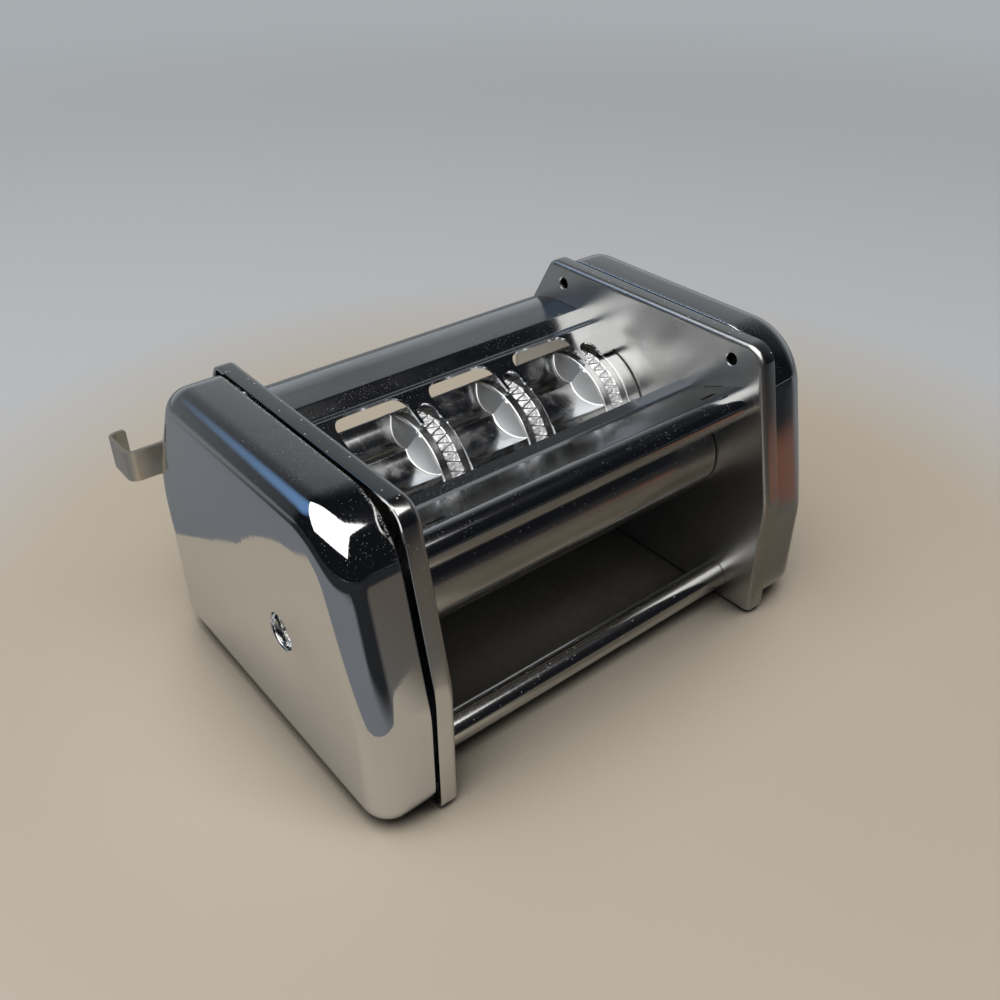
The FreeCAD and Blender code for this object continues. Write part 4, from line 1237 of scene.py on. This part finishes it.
class RAVIOLI_OT_die_roller(bpy.types.Operator):
    """Die drums with pockets, zig-zag wheels and end collars"""

    bl_idname = "ravioli.die_roller"
    bl_label = "Die roller"

    def execute(self, context):
        props = context.scene.ravioli_rollers
        drum = cast_finish("cast_drum", props.drum, 0.13, 0.34)
        wheel = cast_finish("cast_wheel", props.wheel, 0.16, 0.3)
        for index, name in enumerate(("left", "middle", "right")):
            height_roller("drum_" + name, PITCH_X * (index - 1), DRUM_W, props.around, DRUM_ROWS,
                          pocket_height, drum, ["die_drum_" + name])
        for index in range(4):
            height_roller("wheel_%d" % (index + 1), PITCH_X * (index - 1.5), WHEEL_W,
                          TEETH * TOOTH_POINTS, WHEEL_ROWS, zigzag_height, wheel,
                          ["crimp_wheel_%d" % (index + 1)])
        half = (COLLAR_HIGH[0] - COLLAR_LOW[0]) / 2
        for side, name in SIDES.items():
            middle = side * (COLLAR_HIGH[0] + COLLAR_LOW[0]) / 2
            profile = [(x + middle, r)
                       for x, r in bar_profile(half, DIE_R, DIE_SHAFT_R, ROLLER_EDGE)]
            turned_piece("collar_" + name, profile, DIE_Y, AXIS_H, COLLAR_POINTS, "die_roller",
                         ["die_collar_" + name], wheel)
        return {"FINISHED"}


class RAVIOLI_OT_press_roller(bpy.types.Operator):
    """Smooth roller in front of the die roller"""

    bl_idname = "ravioli.press_roller"
    bl_label = "Smooth roller"

    def execute(self, context):
        press = context.scene.ravioli_rollers.press
        finish = rod_finish("satin_roller", press, 0.12, 900.0, 0.00001)
        profile = bar_profile(PRESS_HIGH[0], PRESS_R, PRESS_SHAFT_R, 0.5)
        turned_piece("smooth_roller", profile, PRESS_Y, AXIS_H, ROLLER_POINTS, "press_roller",
                     ["press_roller"], finish)
        return {"FINISHED"}


class RAVIOLI_OT_rods(bpy.types.Operator):
    """Tie rods between the side plates"""

    bl_idname = "ravioli.rods"
    bl_label = "Tie rods"

    def execute(self, context):
        finish = rod_finish("polished_rod", (0.62, 0.62, 0.61), 0.09)
        for name in ("front", "back"):
            low, high = node_box(name + "_tie_rod")
            y, z = node_middle(name + "_tie_rod")
            body = bar_profile(WEB, (high[2] - low[2]) / 2, STUD_R, 0.5)
            end = [(high[0] - 0.3, STUD_R), (high[0], STUD_R - 0.3), (high[0], 0.0)]
            profile = [(-x, r) for x, r in reversed(end)] + body + end
            turned_piece(name + "_rod", profile, y, z, ROD_POINTS, "frame",
                         [name + "_tie_rod"], finish)
        return {"FINISHED"}


class RAVIOLI_OT_inner_parts(bpy.types.Operator):
    """Finishes for the gears, bushes, shafts, nuts, rivets and pillars"""

    bl_idname = "ravioli.inner_parts"
    bl_label = "Inner parts"

    def execute(self, context):
        gear = rod_finish("cut_gear", (0.44, 0.44, 0.45), 0.24)
        bronze = rod_finish("sintered_bronze", (0.55, 0.42, 0.24), 0.3)
        shaft = rod_finish("turned_shaft", (0.52, 0.52, 0.53), 0.14)
        fastener = rod_finish("plated_fastener", (0.56, 0.56, 0.57), 0.18)
        slots = {"gear_steel": gear, "bush_bronze": bronze, "shaft_steel": shaft,
                 "fastener_steel": fastener}
        rows = {row["node"]: row["material_slot"] for row in frame["record"]["subparts"]}
        for name, node in frame["nodes"].items():
            if rows[name] in slots and not node.hide_render:
                node.data.materials.clear()
                node.data.materials.append(slots[rows[name]])
        return {"FINISHED"}


def stage_piece(name, points, faces, material):
    """A piece of the stage, which is no part of the object."""
    mesh = bpy.data.meshes.new(name)
    mesh.from_pydata(points, [], faces)
    mesh.materials.append(material)
    made = bpy.data.objects.new(name, mesh)
    bpy.context.scene.collection.objects.link(made)
    return made


def warm_distance(f):
    """Distance along the floor from the middle of the warm patch under the object."""
    moved = f.node("ShaderNodeVectorMath", {"operation": "SUBTRACT"}, {0: f.place, 1: WARM_AT})
    return f.node("ShaderNodeVectorMath", {"operation": "LENGTH"},
                  {0: moved.out("Vector")}).value("Value")


def facing(shader, way, aim):
    """How far a direction or place lies along an aim: their dot product."""
    return shader.node("ShaderNodeVectorMath", {"operation": "DOT_PRODUCT"},
                       {0: way, 1: aim}).value("Value")


# Colours of the stage that only mirrors see
DARK_ROOM = (0.008, 0.009, 0.012)
SKY_GLOW = (0.16, 0.33, 0.62)
GREY_SIDE = (0.24, 0.26, 0.29, 1.0)
BROWN_SIDE = (0.14, 0.12, 0.095, 1.0)
RED_SIDE = (0.24, 0.1, 0.06, 1.0)
BACK_ROOM = (0.27, 0.29, 0.31, 1.0)
# Painted shadow of the object on the floor before it, as mirrors see it
FRONT_SHADE = (0.17, 0.145, 0.11, 1.0)
# Painted shade for the floor under and beside the object, which the camera sees as well as mirrors
CONTACT_SHADE = (0.012, 0.011, 0.008, 1.0)


class RAVIOLI_OT_stage(bpy.types.Operator):
    """Floor, background, lamps and the photograph's camera"""

    bl_idname = "ravioli.stage"
    bl_label = "Stage"

    def execute(self, context):
        props = context.scene.ravioli_stage
        self.make_floor(props)
        self.make_surround()
        self.make_world(props)
        self.make_lamps(props)
        self.make_camera()
        context.scene.view_settings.view_transform = "Standard"
        return {"FINISHED"}

    def make_floor(self, props):
        """Square floor: warm near the object, cooler further off, with painted shade where little
        sky shows.

        Far away it turns into the background's own colour, so that no horizon shows."""
        f = Finish("pale_floor")
        away = warm_distance(f)
        base = f.mix(f.noise(3.0, 3.0).band(0.3, 0.7), tint(props.floor), tint(props.floor, 0.96))
        base = f.mix(away.band(0.2, 0.36), base, tint(props.far_floor))
        # Painted shade: ambient occlusion darkens the floor colour towards CONTACT_SHADE under and
        # beside the object
        sky = f.node("ShaderNodeAmbientOcclusion", {"samples": 12}, {"Distance": 0.14}).value("AO")
        base = f.mix(sky.band(0.22, 0.72), CONTACT_SHADE, base)
        material = f.done(base=base, rough=0.75)
        wall = f.node("ShaderNodeEmission", {}, {"Color": tint(props.wall)}).out("Emission")
        f.show(f.joined(away.band(0.45, 1.5), f.surface.outputs["BSDF"], wall))
        reach = FLOOR_REACH
        corners = [(-reach, -reach, 0), (reach, -reach, 0), (reach, reach, 0), (-reach, reach, 0)]
        stage_piece("floor", corners, [(0, 1, 2, 3)], material)

    def make_surround(self):
        """Ring that only mirrors see: a grey room behind the object and a dark one before it.

        A dark wedge starts at the left cover's front, and a patch of painted shadow lies before the
        object.
        The ring's points are the unit circle times its inner and its outer radius."""
        f = Finish("mirror_surround")
        parts = f.node("ShaderNodeSeparateXYZ", {}, {"Vector": f.place})
        side = parts.value("X")
        depth = -0.07 - parts.value("Y")
        away = warm_distance(f)
        spread = (side + 0.1) / depth
        wedge = spread.band(-0.8, -0.5) * (1.0 - spread.band(0.15, 0.4)) * depth.band(0.11, 0.17)
        front = f.mix(side.band(-0.2, 0.05), GREY_SIDE, BROWN_SIDE)
        front = f.mix(side.band(0.17, 0.23), front, RED_SIDE)
        front = f.mix((away.band(0.36, 0.46) + wedge).clamped(), front, tint(DARK_ROOM))
        room = f.mix(facing(f, f.place, HEADING).band(-0.05, 0.12), front, BACK_ROOM)
        # Painted shadow: FRONT_SHADE darkens the patch before the object that mirrors see, standing
        # in for the object's shadow on the floor
        base = f.mix(away.band(0.19, 0.2), FRONT_SHADE, room)
        shade = side.band(-0.05, 0.0) * depth.band(0.0, 0.03)
        material = f.done(base=base, rough=1.0, alpha=(away.band(0.199, 0.2) + shade).clamped())
        ring = np.column_stack([circle(0.0, 0.0, 1.0, CARD_POINTS), np.zeros(CARD_POINTS)])
        lift = np.array([0.0, 0.0, CARD_LIFT])
        points = np.concatenate([ring * CARD_HOLE + WARM_AT + lift, ring * FLOOR_REACH + lift])
        index = np.arange(CARD_POINTS)
        after = (index + 1) % CARD_POINTS
        faces = np.column_stack([index, index + CARD_POINTS, after + CARD_POINTS, after])
        card = stage_piece("surround", points.tolist(), faces.tolist(), material)
        card.visible_camera = False
        card.visible_diffuse = False
        card.visible_shadow = False
        card.visible_transmission = False

    def make_world(self, props):
        """Mirrors see a grey wall behind the object that darkens upwards, and a dark front."""
        world = bpy.data.worlds.new("studio")
        bpy.context.scene.world = world
        world.use_nodes = True
        sky = Shader(world.node_tree)
        path = sky.node("ShaderNodeLightPath")
        way = sky.node("ShaderNodeTexCoord").out("Generated")
        up = sky.node("ShaderNodeSeparateXYZ", {}, {"Vector": way}).value("Z")
        lit = facing(sky, way, HEADING).band(0.0, 0.8) * (1.0 - up.band(0.0, 0.85))

        def plain(colour, strength=1.0):
            return sky.node("ShaderNodeBackground", {}, {
                "Color": tint(colour), "Strength": strength}).out("Background")

        glow = facing(sky, way, GLOW_WAY).band(0.94, 0.995)
        dark = sky.joined(glow, plain(DARK_ROOM), plain(SKY_GLOW))
        room = sky.joined((lit + path.value("Is Camera Ray")).clamped(), dark, plain(props.wall))
        seen = path.value("Is Camera Ray") + path.value("Is Glossy Ray")
        seen = (seen + path.value("Is Transmission Ray")).clamped()
        shown = sky.joined(seen, plain((0.92, 0.95, 1.0), props.ambient), room)
        output = sky.tree.nodes.new("ShaderNodeOutputWorld")
        sky.tree.links.new(shown, output.inputs["Surface"])

    def make_lamps(self, props):
        """One wide soft lamp overhead."""
        light = bpy.data.lights.new("overhead", "AREA")
        light.energy = props.key
        light.shape = "RECTANGLE"
        light.size, light.size_y = LAMP_SIZE
        light.color = (1.0, 0.985, 0.96)
        lamp = bpy.data.objects.new("overhead", light)
        bpy.context.scene.collection.objects.link(lamp)
        lamp.location = LAMP_AT
        turn = (Vector(LAMP_AIM) - lamp.location).to_track_quat("-Z", "Y")
        lamp.rotation_euler = turn.to_euler()

    def make_camera(self):
        """The photograph's camera, turned by its pitch below the level, its yaw and its roll."""
        data = bpy.data.cameras.new("camera")
        data.lens = CAMERA_LENS
        data.sensor_width = CAMERA_SENSOR
        camera = bpy.data.objects.new("camera", data)
        bpy.context.scene.collection.objects.link(camera)
        x, y, z = CAMERA_AT
        camera.location = Vector((x, y + FOOT_Y, z)) * MM
        turn = Euler((math.radians(90.0 - CAMERA_PITCH), 0.0, -math.radians(CAMERA_YAW)), "XYZ")
        roll = Euler((0.0, 0.0, math.radians(CAMERA_ROLL)), "XYZ")
        camera.rotation_euler = (turn.to_matrix() @ roll.to_matrix()).to_euler()
        bpy.context.scene.camera = camera


OPERATORS = (RAVIOLI_OT_covers, RAVIOLI_OT_plates, RAVIOLI_OT_guides, RAVIOLI_OT_hooks,
             RAVIOLI_OT_die_roller, RAVIOLI_OT_press_roller, RAVIOLI_OT_rods,
             RAVIOLI_OT_inner_parts, RAVIOLI_OT_stage)


class RAVIOLI_PT_panel(bpy.types.Panel):
    """Sidebar list of the steps and their settings"""

    bl_label = "Ravioli former"
    bl_idname = "RAVIOLI_PT_panel"
    bl_space_type = "VIEW_3D"
    bl_region_type = "UI"
    bl_category = "Ravioli"

    def draw(self, context):
        for group in (context.scene.ravioli_covers, context.scene.ravioli_plates,
                      context.scene.ravioli_rollers, context.scene.ravioli_stage):
            for name in group.__annotations__:
                self.layout.prop(group, name)
        for operator in OPERATORS:
            self.layout.operator(operator.bl_idname)


GROUPS = {"ravioli_covers": RavioliCovers, "ravioli_plates": RavioliPlates,
          "ravioli_rollers": RavioliRollers, "ravioli_stage": RavioliStage}


def register():
    for group in GROUPS.values():
        bpy.utils.register_class(group)
    for name, group in GROUPS.items():
        setattr(bpy.types.Scene, name, PointerProperty(type=group))
    for operator in OPERATORS:
        bpy.utils.register_class(operator)
    bpy.utils.register_class(RAVIOLI_PT_panel)


def unregister():
    bpy.utils.unregister_class(RAVIOLI_PT_panel)
    for operator in reversed(OPERATORS):
        bpy.utils.unregister_class(operator)
    for name, group in GROUPS.items():
        delattr(bpy.types.Scene, name)
        bpy.utils.unregister_class(group)


def main():
    register()
    for operator in OPERATORS:
        getattr(bpy.ops.ravioli, operator.bl_idname.split(".")[1])()


if __name__ == "__main__":
    main()
